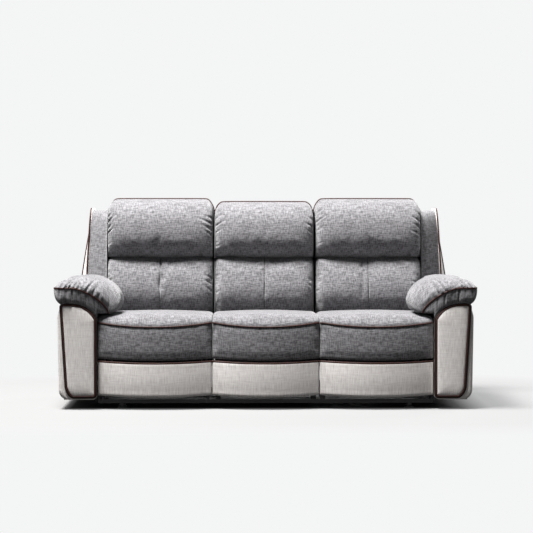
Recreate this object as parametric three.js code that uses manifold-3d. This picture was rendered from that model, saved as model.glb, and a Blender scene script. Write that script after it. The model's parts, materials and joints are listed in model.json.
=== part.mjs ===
// Three-seat reclining sofa. The two end seats recline and put out a footrest, the middle seat is fixed.
// Millimetres, +Z up, front towards -Y, origin on the floor under the middle of the sofa.
import * as THREE from 'three';
import { mergeVertices } from 'three/addons/utils/BufferGeometryUtils.js';
import Module from 'manifold-3d';

const wasm = await Module();
wasm.setup();

// Overall size and the gaps between pieces
const overallDepth = 960;
const overallHeight = 1030;
const fit = 0.3;
const sideGap = 3;
const armSeatGap = 3;
const pinClearance = 0.5;
const cutOverrun = 10;

// Seats, measured across
const outerSeatWidth = 556;
const middleSeatWidth = 523;
const outerHalf = (outerSeatWidth - sideGap) / 2;
const middleHalf = (middleSeatWidth - sideGap) / 2;
const outerCentre = (middleSeatWidth + outerSeatWidth) / 2;

// Seat cushion
const seatBow = 46;
const seatRearSetback = 405;
const seatCushionHeight = 125;
const seatCrown = 13;
const seatRearRound = 60;
const seatRollDepth = 190;
const seatSeamDepth = 9;
const seatSeamDrop = 33;
const seatSeamDip = 20;
const seatBandRound = 14;
const apronDepth = 50;
const cushionEndInset = 15;
const thinPipingRadius = 3;

// Front panels and footrest pads
const panelTopSide = 236;
const panelTopDip = 8;
const panelBottomSide = 68;
const panelBottomDip = 8;
const panelBulge = 3;
const panelEdgeRound = 9;
const panelSideDepth = 18;
const panelSeatGap = 9;
const thickPipingRadius = 4.5;

// Seat frame
const railWidth = 20;
const railHeight = 60;
const frontRailDrop = 28;
const frameSideInset = 14;
const seatFrameRearSetback = 362;
const springCount = 4;
const springWaves = 8;
const springAmplitude = 26;
const springWire = 5;
const springBelowDeck = 6;

// Back
const backPivotSetback = 330;
const backBottom = 150;
const backTopDrop = 75;
const backLean = 170;
const coverThickness = 8;
const coverFlange = 28;
const backBoardThickness = 22;
const bracketWidth = 45;
const hingePinRadius = 8;
const hingeArmWidth = 34;

// Lumbar and headrest cushions
const lumbarDeckGap = 20;
const lumbarTop = 722;
const lumbarBulgeSetback = 404;
const creaseSetback = 328;
const lumbarSeamDepth = 7;
const lumbarPadGap = 5;
const headrestBulgeSetback = 379;
const headrestRearRound = 36;
const headrestOverlap = 8;
const middleHeadrestDrop = 20;
const backEndInset = 22;

// Wings
const wingTopDrop = 62;
const wingWidthTop = 92;
const wingWidthLow = 128;
const wingFrontSetback = 314;
const wingFlare = 22;
const wingSweep = 85;
const wingRound = 14;
const wingHeel = 500;
const wingGap = 8;
const wingHeelGap = 26;

// Arms
const armWidth = 209.5;
const armSideBulge = 16;
const padOverhang = 17;
const armBottom = 48;
const armTopRise = 75;
const armCurvePower = 4;
const armOuterCorner = 40;
const armInnerCorner = 20;
const armFrontInset = 25;
const armRearSetback = 225;
const armPanelThickness = 10;
const armWall = 8;
const armPadding = 33;
const armPipingInset = 5;
const armFrameBoard = 15;

// Arm pads
const padSeatGap = 14;
const padLipDrop = 29;
const padRise = 125;
const padReach = 112;
const padSeamRise = 75;
const padSeamFlatInset = 93;
const padSeamInnerReach = 62.5;
const padSeamInnerRise = 5;
const padSeamPower = 1.7;
const padNoseSlant = 55;
const padRearDrop = 84;
const padRearSlopeSetback = 330;
const padRearSlopeDrop = 30;
const padRearSetback = 244;
const padRearFlatSetback = 420;
const padInnerStartSetback = 630;
const padInnerEndSetback = 452;

// Steel base
const railBottomHeight = 25;
const railTopHeight = 44;
const baseRailDepth = 30;
const baseRailLead = 4;
const baseRearSetback = 240;
const trackTopHeight = 75;
const trackWidth = 14;
const armPlateThickness = 12;
const armPlateTopHeight = 90;
const footRadius = 22;
const footNeckRadius = 15;
const footInset = 118;
const legWidth = 25;
const runnerHeight = 20;
const runnerRearSetback = 420;

// Footrest mechanism, side view: places of the pivots when closed, link lengths
const plateInset = 37.5;
const plateThickness = 6;
const layerGap = 3;
const torqueTubeInset = 147.4;
const linkTrackGap = 0.556;
const deckAboveTube = 52.1;
const torqueTubeRadius = 11;
const lowerLinkLength = 212.35;
const lowerClosedAngle = -115.7;
const lowerHeelAlong = 214.95;
const lowerHeelAcross = -32.02;
const lowerKneeAlong = 12;
const lowerKneeAcross = -65;
const lowerShinAlong = 132;
const lowerShinAcross = -60;
const upperLinkLength = 172.52;
const upperClosedAngle = 40.48;
const supportLinkLength = 154.14;
const supportClosedAngle = 43.88;
const linkHalfWidth = 11;
const linkPinRadius = 5;
const openPivotClearance = 1.2;
const footrestBoardThickness = 14;
const footrestBoardInset = 12;
const bracketHalfHeight = 34;

// Release lever in the outer side of each arm
const leverInset = 280;
const leverDrop = 143;
const cupWidth = 108;
const cupHeight = 70;
const cupDepth = 24;
const cupWall = 3;
const cupLip = 8;
const leverThickness = 6;
const leverSideGap = 2;
const leverPinRadius = 3.5;
const leverPivotDrop = 12;
const leverPivotDepth = 9;
const leverTipGap = 14;

// Places across: the arms stand beside the seats
const armInner = middleSeatWidth / 2 + outerSeatWidth + armSeatGap;
const halfWidth = armInner + armWidth;
const armOuter = halfWidth - padOverhang;
const armPanelOuter = armOuter - armSideBulge;
const padSeamFlat = halfWidth - padSeamFlatInset;
const padSeamInner = armInner - padSeamInnerReach;
const plateInner = outerHalf - plateInset;

// Places along the depth, from the rear
const halfDepth = overallDepth / 2;
const seatRear = halfDepth - seatRearSetback;
const seatFrameRear = halfDepth - seatFrameRearSetback;
const runnerRear = halfDepth - runnerRearSetback;
const baseRearY = halfDepth - baseRearSetback;
const backPivotY = halfDepth - backPivotSetback;
const lumbarBulgeY = halfDepth - lumbarBulgeSetback;
const creaseY = halfDepth - creaseSetback;
const headrestBulgeY = halfDepth - headrestBulgeSetback;
const wingFrontY = halfDepth - wingFrontSetback;
const armRearY = halfDepth - armRearSetback;
const padRearY = halfDepth - padRearSetback;
const padRearSlopeStart = halfDepth - padRearSlopeSetback;
const padRearFlat = halfDepth - padRearFlatSetback;
const padInnerStart = halfDepth - padInnerStartSetback;
const padInnerEnd = halfDepth - padInnerEndSetback;
const backRearTop = halfDepth - headrestOverlap;
const backRearBottom = backRearTop - backLean;

// Places along the depth, from the front
const seatFrontSide = -(halfDepth - panelBulge) + seatBow;
const armFrontY = -halfDepth + armFrontInset;
const torqueTubeY = -halfDepth + torqueTubeInset;
const leverY = -halfDepth + leverInset;
const seatFrameFront = seatFrontSide + apronDepth + fit;
const footrestPadBack = seatFrontSide + panelSideDepth;
const baseFrontY = seatFrameFront - baseRailLead;

// Heights of the seat and the arms: the folded footrest links hang from their tube to just above the tracks, the
// deck lies above the tube, and the arm pad's inner edge just above the seat cushion
const toRadians = Math.PI / 180;
const foldedLinkDrop = lowerLinkLength * Math.abs(Math.sin(lowerClosedAngle * toRadians)) + linkHalfWidth;
const torqueTubeHeight = trackTopHeight + linkTrackGap + foldedLinkDrop;
const deckHeight = torqueTubeHeight + deckAboveTube;
const backPivotHeight = deckHeight;
const lumbarBottom = deckHeight + lumbarDeckGap;
const seatSideHeight = deckHeight + seatCushionHeight;
const seatSeamSideHeight = seatSideHeight - seatSeamDrop;
const padInnerBottom = seatSideHeight + padSeatGap;
const padSeamInnerHeight = padInnerBottom + padSeamInnerRise;
const armTopInner = padInnerBottom - padLipDrop;
const armTopOuter = armTopInner + armTopRise;
const padTop = armTopOuter + padRise;
const padSeamHeight = armTopOuter + padSeamRise;
const padRearSlopeTop = padTop - padRearSlopeDrop;
const padRearTop = padTop - padRearDrop;
const leverHeight = armTopOuter - leverDrop;

// Heights of the back
const headrestTop = overallHeight;
const backTop = overallHeight - backTopDrop;
const wingTop = overallHeight - wingTopDrop;
const backSlope = backLean / (backTop - backBottom);

// Finishes
const greyFabric = new THREE.MeshStandardMaterial({ color: 0x76757a, roughness: 0.95 });
const ivoryFabric = new THREE.MeshStandardMaterial({ color: 0xdcd8d5, roughness: 0.9 });
const brownPiping = new THREE.MeshStandardMaterial({ color: 0x4a2c24, roughness: 0.6 });
const blackSteel = new THREE.MeshStandardMaterial({ color: 0x1c1c1e, roughness: 0.45, metalness: 0.8 });
const zincSteel = new THREE.MeshStandardMaterial({ color: 0x6f7276, roughness: 0.4, metalness: 0.9 });
const plywood = new THREE.MeshStandardMaterial({ color: 0xb98f5e, roughness: 0.7 });
const blackPlastic = new THREE.MeshStandardMaterial({ color: 0x18181a, roughness: 0.5 });
const liningFabric = new THREE.MeshStandardMaterial({ color: 0x5f5e62, roughness: 0.95 });

const sofa = new THREE.Group();

function addPiece(name, geometry, material) {
  geometry.computeVertexNormals();
  const mesh = new THREE.Mesh(geometry, material);
  mesh.name = name;
  sofa.add(mesh);
}

// Geometry helpers

function signedVolume(geometry) {
  const position = geometry.getAttribute('position');
  const index = geometry.getIndex();
  const corner = [new THREE.Vector3(), new THREE.Vector3(), new THREE.Vector3()];
  let volume = 0;
  for (let i = 0; i < index.count; i += 3) {
    corner.forEach((point, k) => point.fromBufferAttribute(position, index.getX(i + k)));
    volume += corner[0].dot(corner[1].clone().cross(corner[2]));
  }
  return volume;
}

function facingOut(geometry) {
  if (signedVolume(geometry) > 0) return geometry;
  const index = geometry.getIndex();
  for (let i = 0; i < index.count; i += 3) {
    const second = index.getX(i + 1);
    index.setX(i + 1, index.getX(i + 2));
    index.setX(i + 2, second);
  }
  return geometry;
}

function indexedMesh(points, faces) {
  const geometry = new THREE.BufferGeometry();
  geometry.setAttribute('position', new THREE.Float32BufferAttribute(points.flatMap(p => [p.x, p.y, p.z]), 3));
  geometry.setIndex(faces);
  return facingOut(geometry);
}

function toSolid(geometry) {
  const bare = geometry.clone();
  bare.deleteAttribute('normal');
  bare.deleteAttribute('uv');
  const merged = mergeVertices(bare);
  return new wasm.Manifold(new wasm.Mesh({
    numProp: 3,
    vertProperties: merged.getAttribute('position').array,
    triVerts: new Uint32Array(merged.getIndex().array),
  }));
}

function toGeometry(solid) {
  const mesh = solid.getMesh();
  const geometry = new THREE.BufferGeometry();
  geometry.setAttribute('position', new THREE.Float32BufferAttribute(mesh.vertProperties, 3));
  geometry.setIndex(Array.from(mesh.triVerts));
  return geometry;
}

function joined(pieces) {
  return toGeometry(pieces.map(toSolid).reduce((whole, piece) => whole.add(piece)));
}

function cutBy(geometry, tools) {
  return toGeometry(tools.map(toSolid).reduce((whole, tool) => whole.subtract(tool), toSolid(geometry)));
}

function mirrored(geometry) {
  const copy = geometry.clone();
  if (!copy.getIndex()) copy.setIndex([...Array(copy.getAttribute('position').count).keys()]);
  copy.scale(-1, 1, 1);
  return facingOut(copy);
}

function block(x0, x1, y0, y1, z0, z1) {
  const geometry = new THREE.BoxGeometry(x1 - x0, y1 - y0, z1 - z0);
  return geometry.translate((x0 + x1) / 2, (y0 + y1) / 2, (z0 + z1) / 2);
}

// Sides of round pieces
const tubeSides = 16;
const pinSides = 12;

function rodAcross(radius, x0, x1, y, z, sides) {
  const geometry = new THREE.CylinderGeometry(radius, radius, x1 - x0, sides);
  return geometry.rotateZ(Math.PI / 2).translate((x0 + x1) / 2, y, z);
}

function rodAlong(radius, y0, y1, x, z, sides) {
  const geometry = new THREE.CylinderGeometry(radius, radius, y1 - y0, sides);
  return geometry.translate(x, (y0 + y1) / 2, z);
}

// A flat outline given as [y, z] points, made x0 to x1 thick
function sidePlate(outline, x0, x1, bevel) {
  const shape = new THREE.Shape(outline.map(([y, z]) => new THREE.Vector2(y, z)));
  const options = { depth: x1 - x0, bevelEnabled: false };
  if (bevel) {
    Object.assign(options, {
      depth: x1 - x0 - 2 * bevel, bevelEnabled: true, bevelSize: bevel, bevelOffset: -bevel,
      bevelThickness: bevel, bevelSegments: 2,
    });
  }
  const geometry = new THREE.ExtrudeGeometry(shape, options);
  const turn = new THREE.Matrix4().makeBasis(
    new THREE.Vector3(0, 1, 0), new THREE.Vector3(0, 0, 1), new THREE.Vector3(1, 0, 0));
  return geometry.applyMatrix4(turn).translate(x0 + (bevel || 0), 0, 0);
}

// A flat outline given as [x, z] points, made y0 to y1 thick
function frontPlate(outline, y0, y1) {
  const shape = new THREE.Shape(outline.map(([x, z]) => new THREE.Vector2(x, z)));
  const geometry = new THREE.ExtrudeGeometry(shape, { depth: y1 - y0, bevelEnabled: false });
  return geometry.rotateX(Math.PI / 2).translate(0, y1, 0);
}

// The band round a few circles: their convex hull as an outline
const beltArcPoints = 10;

function beltOutline(circles, arcPoints = beltArcPoints) {
  const points = circles.flatMap(([y, z, radius]) => Array.from({ length: arcPoints }, (_, k) => {
    const angle = 2 * Math.PI * (k + 0.5) / arcPoints;
    return [y + radius * Math.cos(angle), z + radius * Math.sin(angle)];
  })).sort((a, b) => a[0] - b[0] || a[1] - b[1]);
  const half = list => list.reduce((chain, point) => {
    while (chain.length > 1) {
      const [a, b] = chain.slice(-2);
      if ((b[0] - a[0]) * (point[1] - a[1]) - (b[1] - a[1]) * (point[0] - a[0]) > 0) break;
      chain.pop();
    }
    return [...chain, point];
  }, []);
  const lower = half(points);
  const upper = half([...points].reverse());
  return [...lower.slice(0, -1), ...upper.slice(0, -1)];
}

// Rings of equal count joined into a closed body; flat(point) gives the two coordinates that the end caps lie in,
// and without it the ends are convex
function loft(rings, flat) {
  const count = rings[0].length;
  const faces = [];
  for (let i = 0; i + 1 < rings.length; i++) {
    for (let j = 0; j < count; j++) {
      const next = (j + 1) % count;
      const a = i * count + j;
      const b = a + count;
      const c = (i + 1) * count + next;
      const d = i * count + next;
      faces.push(a, b, c, a, c, d);
    }
  }
  const area = loop => loop.reduce((sum, p, k) => {
    const q = loop[(k + 1) % loop.length];
    return sum + p.x * q.y - q.x * p.y;
  }, 0);
  if (!flat) {
    const last = (rings.length - 1) * count;
    for (let k = 1; k + 1 < count; k++) faces.push(0, k, k + 1, last, last + k + 1, last + k);
    return indexedMesh(rings.flat(), faces);
  }
  [0, rings.length - 1].forEach(end => {
    const contour = rings[end].map(point => new THREE.Vector2(...flat(point)));
    const wanted = Math.sign(area(contour)) * (end === 0 ? 1 : -1);
    THREE.ShapeUtils.triangulateShape(contour, []).forEach(([p, q, r]) => {
      const turn = Math.sign(area([contour[p], contour[q], contour[r]]));
      const base = end * count;
      faces.push(...(turn === wanted ? [base + p, base + q, base + r] : [base + p, base + r, base + q]));
    });
  });
  return indexedMesh(rings.flat(), faces);
}

// Moves each edge of a closed loop of pairs inwards by the same distance
function insetLoop(loop, distance) {
  const turn = Math.sign(loop.reduce((sum, p, k) => {
    const q = loop[(k + 1) % loop.length];
    return sum + p[0] * q[1] - q[0] * p[1];
  }, 0));
  const edgeNormal = (p, q) => new THREE.Vector2(-turn * (q[1] - p[1]), turn * (q[0] - p[0])).normalize();
  return loop.map((point, k) => {
    const before = edgeNormal(loop[(k + loop.length - 1) % loop.length], point);
    const after = edgeNormal(point, loop[(k + 1) % loop.length]);
    const inward = before.clone().add(after).normalize();
    const reach = distance / inward.dot(before);
    return [point[0] + inward.x * reach, point[1] + inward.y * reach];
  });
}

// A cushion across the sofa: section(s) gives [y, z] pairs at the share s of the half width
const cushionStationShares = [-1, -0.94, -0.72, -0.38, 0, 0.38, 0.72, 0.94, 1];
const seamedStationShares = [-1, -0.94, -0.7, -0.36, -0.04, 0, 0.04, 0.36, 0.7, 0.94, 1];
const endInsetShares = { 1: 1, 0.94: 0.2 };

function cushion(centre, half, section, endInset, stationShares = cushionStationShares) {
  const rings = stationShares.map(share => {
    const inset = endInset * (endInsetShares[Math.abs(share)] || 0);
    return section(share, inset).map(([y, z]) => new THREE.Vector3(centre + share * half, y, z));
  });
  return loft(rings, point => [point.y, point.z]);
}

// Draws what lies beyond a core line back towards it, so that the furthest place moves by the inset
const drawnIn = (value, core, furthest, inset) => core + (value - core) * (1 - inset / Math.abs(furthest - core));

// A cord through a row of points, its section carried along without twist
function cord(points, radius, sides = 6) {
  const path = points.map(point => new THREE.Vector3(...point));
  const normal = new THREE.Vector3();
  const rings = path.map((point, k) => {
    const before = path[Math.max(0, k - 1)];
    const after = path[Math.min(path.length - 1, k + 1)];
    const along = after.clone().sub(before).normalize();
    if (k === 0) normal.set(along.y, along.z, along.x);
    normal.addScaledVector(along, -normal.dot(along)).normalize();
    const across = along.clone().cross(normal);
    return Array.from({ length: sides }, (_, turn) => {
      const angle = 2 * Math.PI * turn / sides;
      return point.clone().addScaledVector(normal, radius * Math.cos(angle))
        .addScaledVector(across, radius * Math.sin(angle));
    });
  });
  return loft(rings);
}

// A groove for that cord, wide enough to clear it whichever way the two sections are turned
const grooveSides = 8;
const groove = (points, radius) => cord(points, (radius + fit) / Math.cos(Math.PI / grooveSides), grooveSides);

// A cord that closes on itself in a plane across the sofa; outline holds [x, z] pairs
function cordLoop(outline, y, radius, sides = 6) {
  const count = outline.length;
  const points = outline.flatMap(([x, z], k) => {
    const before = outline[(k + count - 1) % count];
    const after = outline[(k + 1) % count];
    const along = new THREE.Vector2(after[0] - before[0], after[1] - before[1]).normalize();
    return Array.from({ length: sides }, (_, turn) => {
      const angle = 2 * Math.PI * turn / sides;
      const side = radius * Math.cos(angle);
      return new THREE.Vector3(x - along.y * side, y + radius * Math.sin(angle), z + along.x * side);
    });
  });
  const faces = [];
  for (let k = 0; k < count; k++) {
    for (let turn = 0; turn < sides; turn++) {
      const nextTurn = (turn + 1) % sides;
      const ring = k * sides;
      const nextRing = ((k + 1) % count) * sides;
      faces.push(ring + turn, nextRing + turn, nextRing + nextTurn);
      faces.push(ring + turn, nextRing + nextTurn, ring + nextTurn);
    }
  }
  return indexedMesh(points, faces);
}

// Seat cushion and front panel

const bowed = share => 1 - share * share;
const seatFront = share => seatFrontSide - seatBow * bowed(share);
const seatSeam = share => seatSeamSideHeight - seatSeamDip * bowed(share);
const seatTop = share => seatSideHeight + seatCrown * bowed(share);
const panelTop = share => panelTopSide - panelTopDip * bowed(share);
const panelBottom = share => panelBottomSide - panelBottomDip * bowed(share);

// Depth shares of the roll's depth and height shares between the seam and the top
const seatRollShares = [[1, 1], [0.6, 0.97], [0.32, 0.88], [0.13, 0.68], [0.03, 0.42], [0.005, 0.2]];
// Height shares of the band below the seam, with depth shares of the seam's depth
const seatBandShares = [[0.9, 0.12], [0.6, 0], [0.3, 0], [0.12, 0.15]];

function seatSection(share, inset) {
  const front = seatFront(share);
  const seam = seatSeam(share);
  const top = seatTop(share);
  const bottom = panelTop(share) + panelSeatGap;
  const roll = seatRollShares.map(([depth, height]) => [front + depth * seatRollDepth, seam + height * (top - seam)]);
  const band = seatBandShares.map(([height, depth]) => [
    front + depth * seatSeamDepth, bottom + height * (seam - bottom)]);
  const inner = seatFrontSide + apronDepth;
  const deck = deckHeight + fit;
  return [
    [seatRear, deck],
    [seatRear, top - seatRearRound / 2],
    [seatRear - seatRearRound / 4, top - seatRearRound / 8],
    [seatRear - seatRearRound, top],
    ...roll,
    [front + seatSeamDepth, seam],
    ...band,
    [front + seatBandRound, bottom],
    [inner, bottom],
    [inner, deck],
  ].map(([y, z]) => [
    y < inner ? drawnIn(y, inner, front, inset) : y,
    z > deck ? drawnIn(z, deck, top, inset) : z,
  ]);
}

// Places of a piping across a cushion, as shares of the half width
const pipingShares = [-1, -0.94, -0.83, -0.67, -0.5, -0.33, -0.17, 0, 0.17, 0.33, 0.5, 0.67, 0.83, 0.94, 1];

// The points of a piping from side to side; overrun lengthens it past both ends, for its groove
function pipingPoints(centre, half, place, overrun = 0) {
  const points = pipingShares.map(share => [centre + share * half, ...place(share)]);
  if (!overrun) return points;
  return [[centre - half - overrun, ...place(-1)], ...points, [centre + half + overrun, ...place(1)]];
}

// The end inset at a share of the half width, straight from station to station as the loft is
function endInsetAt(share, endInset) {
  const [shoulder, before] = [0.94, 0.72];
  const place = Math.abs(share);
  const low = endInsetShares[shoulder];
  if (place < shoulder) return endInset * low * Math.max(0, (place - before) / (shoulder - before));
  return endInset * (low + (1 - low) * (place - shoulder) / (1 - shoulder));
}

function seatSeamPlace(share) {
  const inset = endInsetAt(share, cushionEndInset);
  const front = seatFront(share);
  return [
    drawnIn(front + seatSeamDepth / 2, seatFrontSide + apronDepth, front, inset),
    drawnIn(seatSeam(share), deckHeight + fit, seatTop(share), inset),
  ];
}

function seatCushion(prefix, centre, half) {
  const body = cushion(centre, half, seatSection, cushionEndInset);
  const reach = half - thinPipingRadius;
  const seam = overrun => pipingPoints(centre, reach, seatSeamPlace, overrun);
  addPiece(`${prefix}_seat_cushion`, cutBy(body, [groove(seam(cutOverrun), thinPipingRadius)]), greyFabric);
  addPiece(`${prefix}_seat_piping`, cord(seam(), thinPipingRadius), brownPiping);
}

// Height shares of the panel's face with bulge shares, from the bottom edge to the top edge
const panelFaceShares = [[0.06, 0], [0.25, 0.7], [0.5, 1], [0.75, 0.7], [0.94, 0]];

const panelSeamPlace = share => [seatFront(share) + thickPipingRadius, panelTop(share)];

function frontPanel(name, pipingName, centre, half, back) {
  const section = share => {
    const front = seatFront(share);
    const bottom = panelBottom(share);
    const height = panelTop(share) - bottom;
    return [
      [back, bottom],
      [front + panelEdgeRound, bottom],
      ...panelFaceShares.map(([rise, bulge]) => [front - bulge * panelBulge, bottom + rise * height]),
      [front + panelEdgeRound, panelTop(share)],
      [back, panelTop(share)],
    ];
  };
  const rings = cushionStationShares.map(share => section(share).map(
    ([y, z]) => new THREE.Vector3(centre + share * half, y, z)));
  const body = loft(rings, point => [point.y, point.z]);
  const reach = half - thickPipingRadius;
  const seam = overrun => pipingPoints(centre, reach, panelSeamPlace, overrun);
  addPiece(name, cutBy(body, [groove(seam(cutOverrun), thickPipingRadius)]), ivoryFabric);
  addPiece(pipingName, cord(seam(), thickPipingRadius), brownPiping);
}

// Seat frame with its sinuous springs; a sliding seat adds mechanism plates and runners, a fixed seat adds legs

function springStrip(x, y0, y1, z) {
  const edge = side => Array.from({ length: springWaves + 1 }, (_, k) => {
    const swing = k % 2 ? springAmplitude : -springAmplitude;
    return new THREE.Vector2(x + swing + side * springWire, y0 + (y1 - y0) * k / springWaves);
  });
  const shape = new THREE.Shape([...edge(-1), ...edge(1).reverse()]);
  return new THREE.ExtrudeGeometry(shape, { depth: springWire, bevelEnabled: false }).translate(0, 0, z);
}

function seatRails(centre, half, rear) {
  const outer = half - frameSideInset;
  const bottom = deckHeight - railHeight;
  const rails = [
    block(centre - outer, centre + outer, seatFrameFront, seatFrameFront + railWidth,
      bottom - frontRailDrop, deckHeight),
    block(centre - outer, centre + outer, rear - railWidth, rear, bottom, deckHeight),
    block(centre - outer, centre - outer + railWidth, seatFrameFront, rear, bottom, deckHeight),
    block(centre + outer - railWidth, centre + outer, seatFrameFront, rear, bottom, deckHeight),
  ];
  const pitch = 2 * (outer - railWidth) / springCount;
  for (let k = 0; k < springCount; k++) {
    const x = centre + (k - (springCount - 1) / 2) * pitch;
    const start = seatFrameFront + railWidth / 2;
    const end = rear - railWidth / 2;
    rails.push(springStrip(x, start, end, deckHeight - springBelowDeck - springWire));
  }
  return rails;
}

// The plate that carries the footrest links in front, the back's hinge behind and the runner below. Its rear end is
// round about the hinge, so the back cushion turns past it
const plateRearAngles = [-60, -30, 0, 30, 60, 90];

function mechanismPlateOutline() {
  return [
    [torqueTubeY - 2 * torqueTubeRadius, deckHeight - springWire],
    [torqueTubeY - 2 * torqueTubeRadius, torqueTubeHeight - 2 * torqueTubeRadius],
    [torqueTubeY + 3 * torqueTubeRadius, trackTopHeight + runnerHeight],
    [runnerRear, trackTopHeight + runnerHeight],
    ...plateRearAngles.map(degrees => [
      backPivotY + hingeArmWidth / 2 * Math.cos(degrees * toRadians),
      backPivotHeight + hingeArmWidth / 2 * Math.sin(degrees * toRadians),
    ]),
    [seatFrameRear, backPivotHeight + hingeArmWidth / 2],
    [seatFrameRear - railWidth, deckHeight - springWire],
  ];
}

const ordered = (a, b) => (a < b ? [a, b] : [b, a]);

function recliningSeatFrame(prefix, centre, half) {
  const pieces = seatRails(centre, half, seatFrameRear);
  const holes = [];
  [-1, 1].forEach(side => {
    const [plateLow, plateHigh] = ordered(centre + side * plateInner, centre + side * (plateInner + plateThickness));
    const [runnerLow, runnerHigh] = ordered(centre + side * plateInner, centre + side * (half - frameSideInset));
    pieces.push(sidePlate(mechanismPlateOutline(), plateLow, plateHigh));
    pieces.push(block(runnerLow, runnerHigh, torqueTubeY + 3 * torqueTubeRadius, runnerRear,
      trackTopHeight + fit, trackTopHeight + fit + runnerHeight));
    const holeLow = plateLow - layerGap / 2;
    const holeHigh = plateHigh + layerGap / 2;
    const hole = (radius, y, z) => rodAcross(radius + pinClearance, holeLow, holeHigh, y, z, tubeSides);
    holes.push(hole(torqueTubeRadius, torqueTubeY, torqueTubeHeight));
    holes.push(hole(hingePinRadius, backPivotY, backPivotHeight));
  });
  addPiece(`${prefix}_seat_frame`, cutBy(joined(pieces), holes), zincSteel);
}

function fixedSeatFrame(prefix, centre, half) {
  const outer = half - frameSideInset;
  const legStarts = [seatFrameFront, baseRearY - legWidth];
  const legs = [-1, 1].flatMap(side => legStarts.map(start => {
    const [low, high] = ordered(centre + side * outer, centre + side * (outer - legWidth));
    return block(low, high, start, start + legWidth, railTopHeight + fit, deckHeight - railHeight / 2);
  }));
  addPiece(`${prefix}_seat_frame`, joined([...seatRails(centre, half, baseRearY), ...legs]), plywood);
}

// Back: a leaning board with hinge arms, a cover behind it, lumbar and headrest cushions in front

function leaning(geometry) {
  const position = geometry.getAttribute('position');
  for (let i = 0; i < position.count; i++) {
    position.setY(i, position.getY(i) + backSlope * (position.getZ(i) - backBottom));
  }
  return geometry;
}

const backRear = z => backRearBottom + backSlope * (z - backBottom);
const boardRearOffset = backRearBottom - coverThickness - fit;
const boardFrontOffset = boardRearOffset - backBoardThickness;
const boardFront = z => boardFrontOffset + backSlope * (z - backBottom);

function backFrame(prefix, centre, half, bracket) {
  const outer = half - coverThickness - fit;
  const board = leaning(block(
    centre - outer, centre + outer, boardFrontOffset, boardRearOffset, backBottom, backTop));
  addPiece(`${prefix}_back_frame`, joined([board, ...bracket(centre, outer)]), plywood);
}

// Arms with pins that turn in the seat frame's plates
function hingeBrackets(centre) {
  const low = plateInner - layerGap - plateThickness;
  const reach = boardFront(backPivotHeight) + backBoardThickness / 2;
  const outline = [
    [backPivotY - hingeArmWidth / 2, backPivotHeight - hingeArmWidth / 2],
    [reach, backPivotHeight - hingeArmWidth],
    [reach, backPivotHeight + hingeArmWidth / 2],
    [backPivotY - hingeArmWidth / 2, backPivotHeight + hingeArmWidth / 2],
  ];
  return [-1, 1].flatMap(side => {
    const [armLow, armHigh] = ordered(centre + side * low, centre + side * (low + plateThickness));
    const [pinLow, pinHigh] = ordered(centre + side * low, centre + side * (plateInner + plateThickness));
    return [
      sidePlate(outline, armLow, armHigh),
      rodAcross(hingePinRadius, pinLow, pinHigh, backPivotY, backPivotHeight, tubeSides),
    ];
  });
}

// Blocks that rest against the fixed seat's frame
function fixedBrackets(centre, outer) {
  return [-1, 1].map(side => {
    const [low, high] = ordered(centre + side * (outer - bracketWidth), centre + side * outer);
    return block(low, high, baseRearY + fit, boardFront(deckHeight - railHeight) + backBoardThickness,
      deckHeight - railHeight, deckHeight);
  });
}

function backCover(prefix, centre, half) {
  const shape = new THREE.Shape([
    [-half, backRearBottom], [-half, backRearBottom - coverFlange],
    [-half + coverThickness, backRearBottom - coverFlange],
    [-half + coverThickness, backRearBottom - coverThickness],
    [half - coverThickness, backRearBottom - coverThickness],
    [half - coverThickness, backRearBottom - coverFlange],
    [half, backRearBottom - coverFlange], [half, backRearBottom],
  ].map(([x, y]) => new THREE.Vector2(centre + x, y)));
  const geometry = new THREE.ExtrudeGeometry(shape, { depth: backTop - backBottom, bevelEnabled: false });
  addPiece(`${prefix}_back_cover`, leaning(geometry.translate(0, 0, backBottom)), liningFabric);
}

// Depth shares from the bulge to the crease, height shares of the cushion, from the bottom to the top
const lumbarFaceShares = [
  [0.47, 0], [0.21, 0.11], [0.05, 0.27], [0, 0.48], [0.03, 0.645], [0.18, 0.79], [0.47, 0.91], [0.92, 0.985],
  [1.15, 1],
];
const headrestFaceShares = [
  [1.1, 0], [0.4, 0.06], [0.08, 0.17], [0, 0.33], [0.06, 0.51], [0.3, 0.67], [0.8, 0.82], [1.6, 0.93], [2.6, 0.985],
  [3.7, 1], [5.3, 1],
];

// Draws a section of a back cushion in towards the back frame, and its top down towards a level
function backDrawnIn(outline, deepest, level, top, inset) {
  return outline.map(([y, z]) => {
    const height = z > level ? drawnIn(z, level, top, inset) : z;
    const depth = boardFront(z) - fit - y;
    return [boardFront(height) - fit - depth * (1 - inset / deepest), height];
  });
}

function lumbarCushion(prefix, centre, half) {
  const deepest = boardFront((lumbarBottom + lumbarTop) / 2) - lumbarBulgeY;
  const section = (share, inset) => {
    const seam = share === 0 ? lumbarSeamDepth : 0;
    const face = lumbarFaceShares.map(([depth, height], k) => [
      lumbarBulgeY + depth * (creaseY - lumbarBulgeY) + (k > 0 && k + 1 < lumbarFaceShares.length ? seam : 0),
      lumbarBottom + height * (lumbarTop - lumbarBottom),
    ]);
    const outline = [
      [boardFront(lumbarBottom) - fit, lumbarBottom],
      ...face,
      [boardFront(lumbarTop) - fit, lumbarTop],
    ];
    return backDrawnIn(outline, deepest, lumbarTop, lumbarTop, inset);
  };
  addPiece(`${prefix}_lumbar_cushion`,
    cushion(centre, half, section, backEndInset, seamedStationShares), greyFabric);
}

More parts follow.
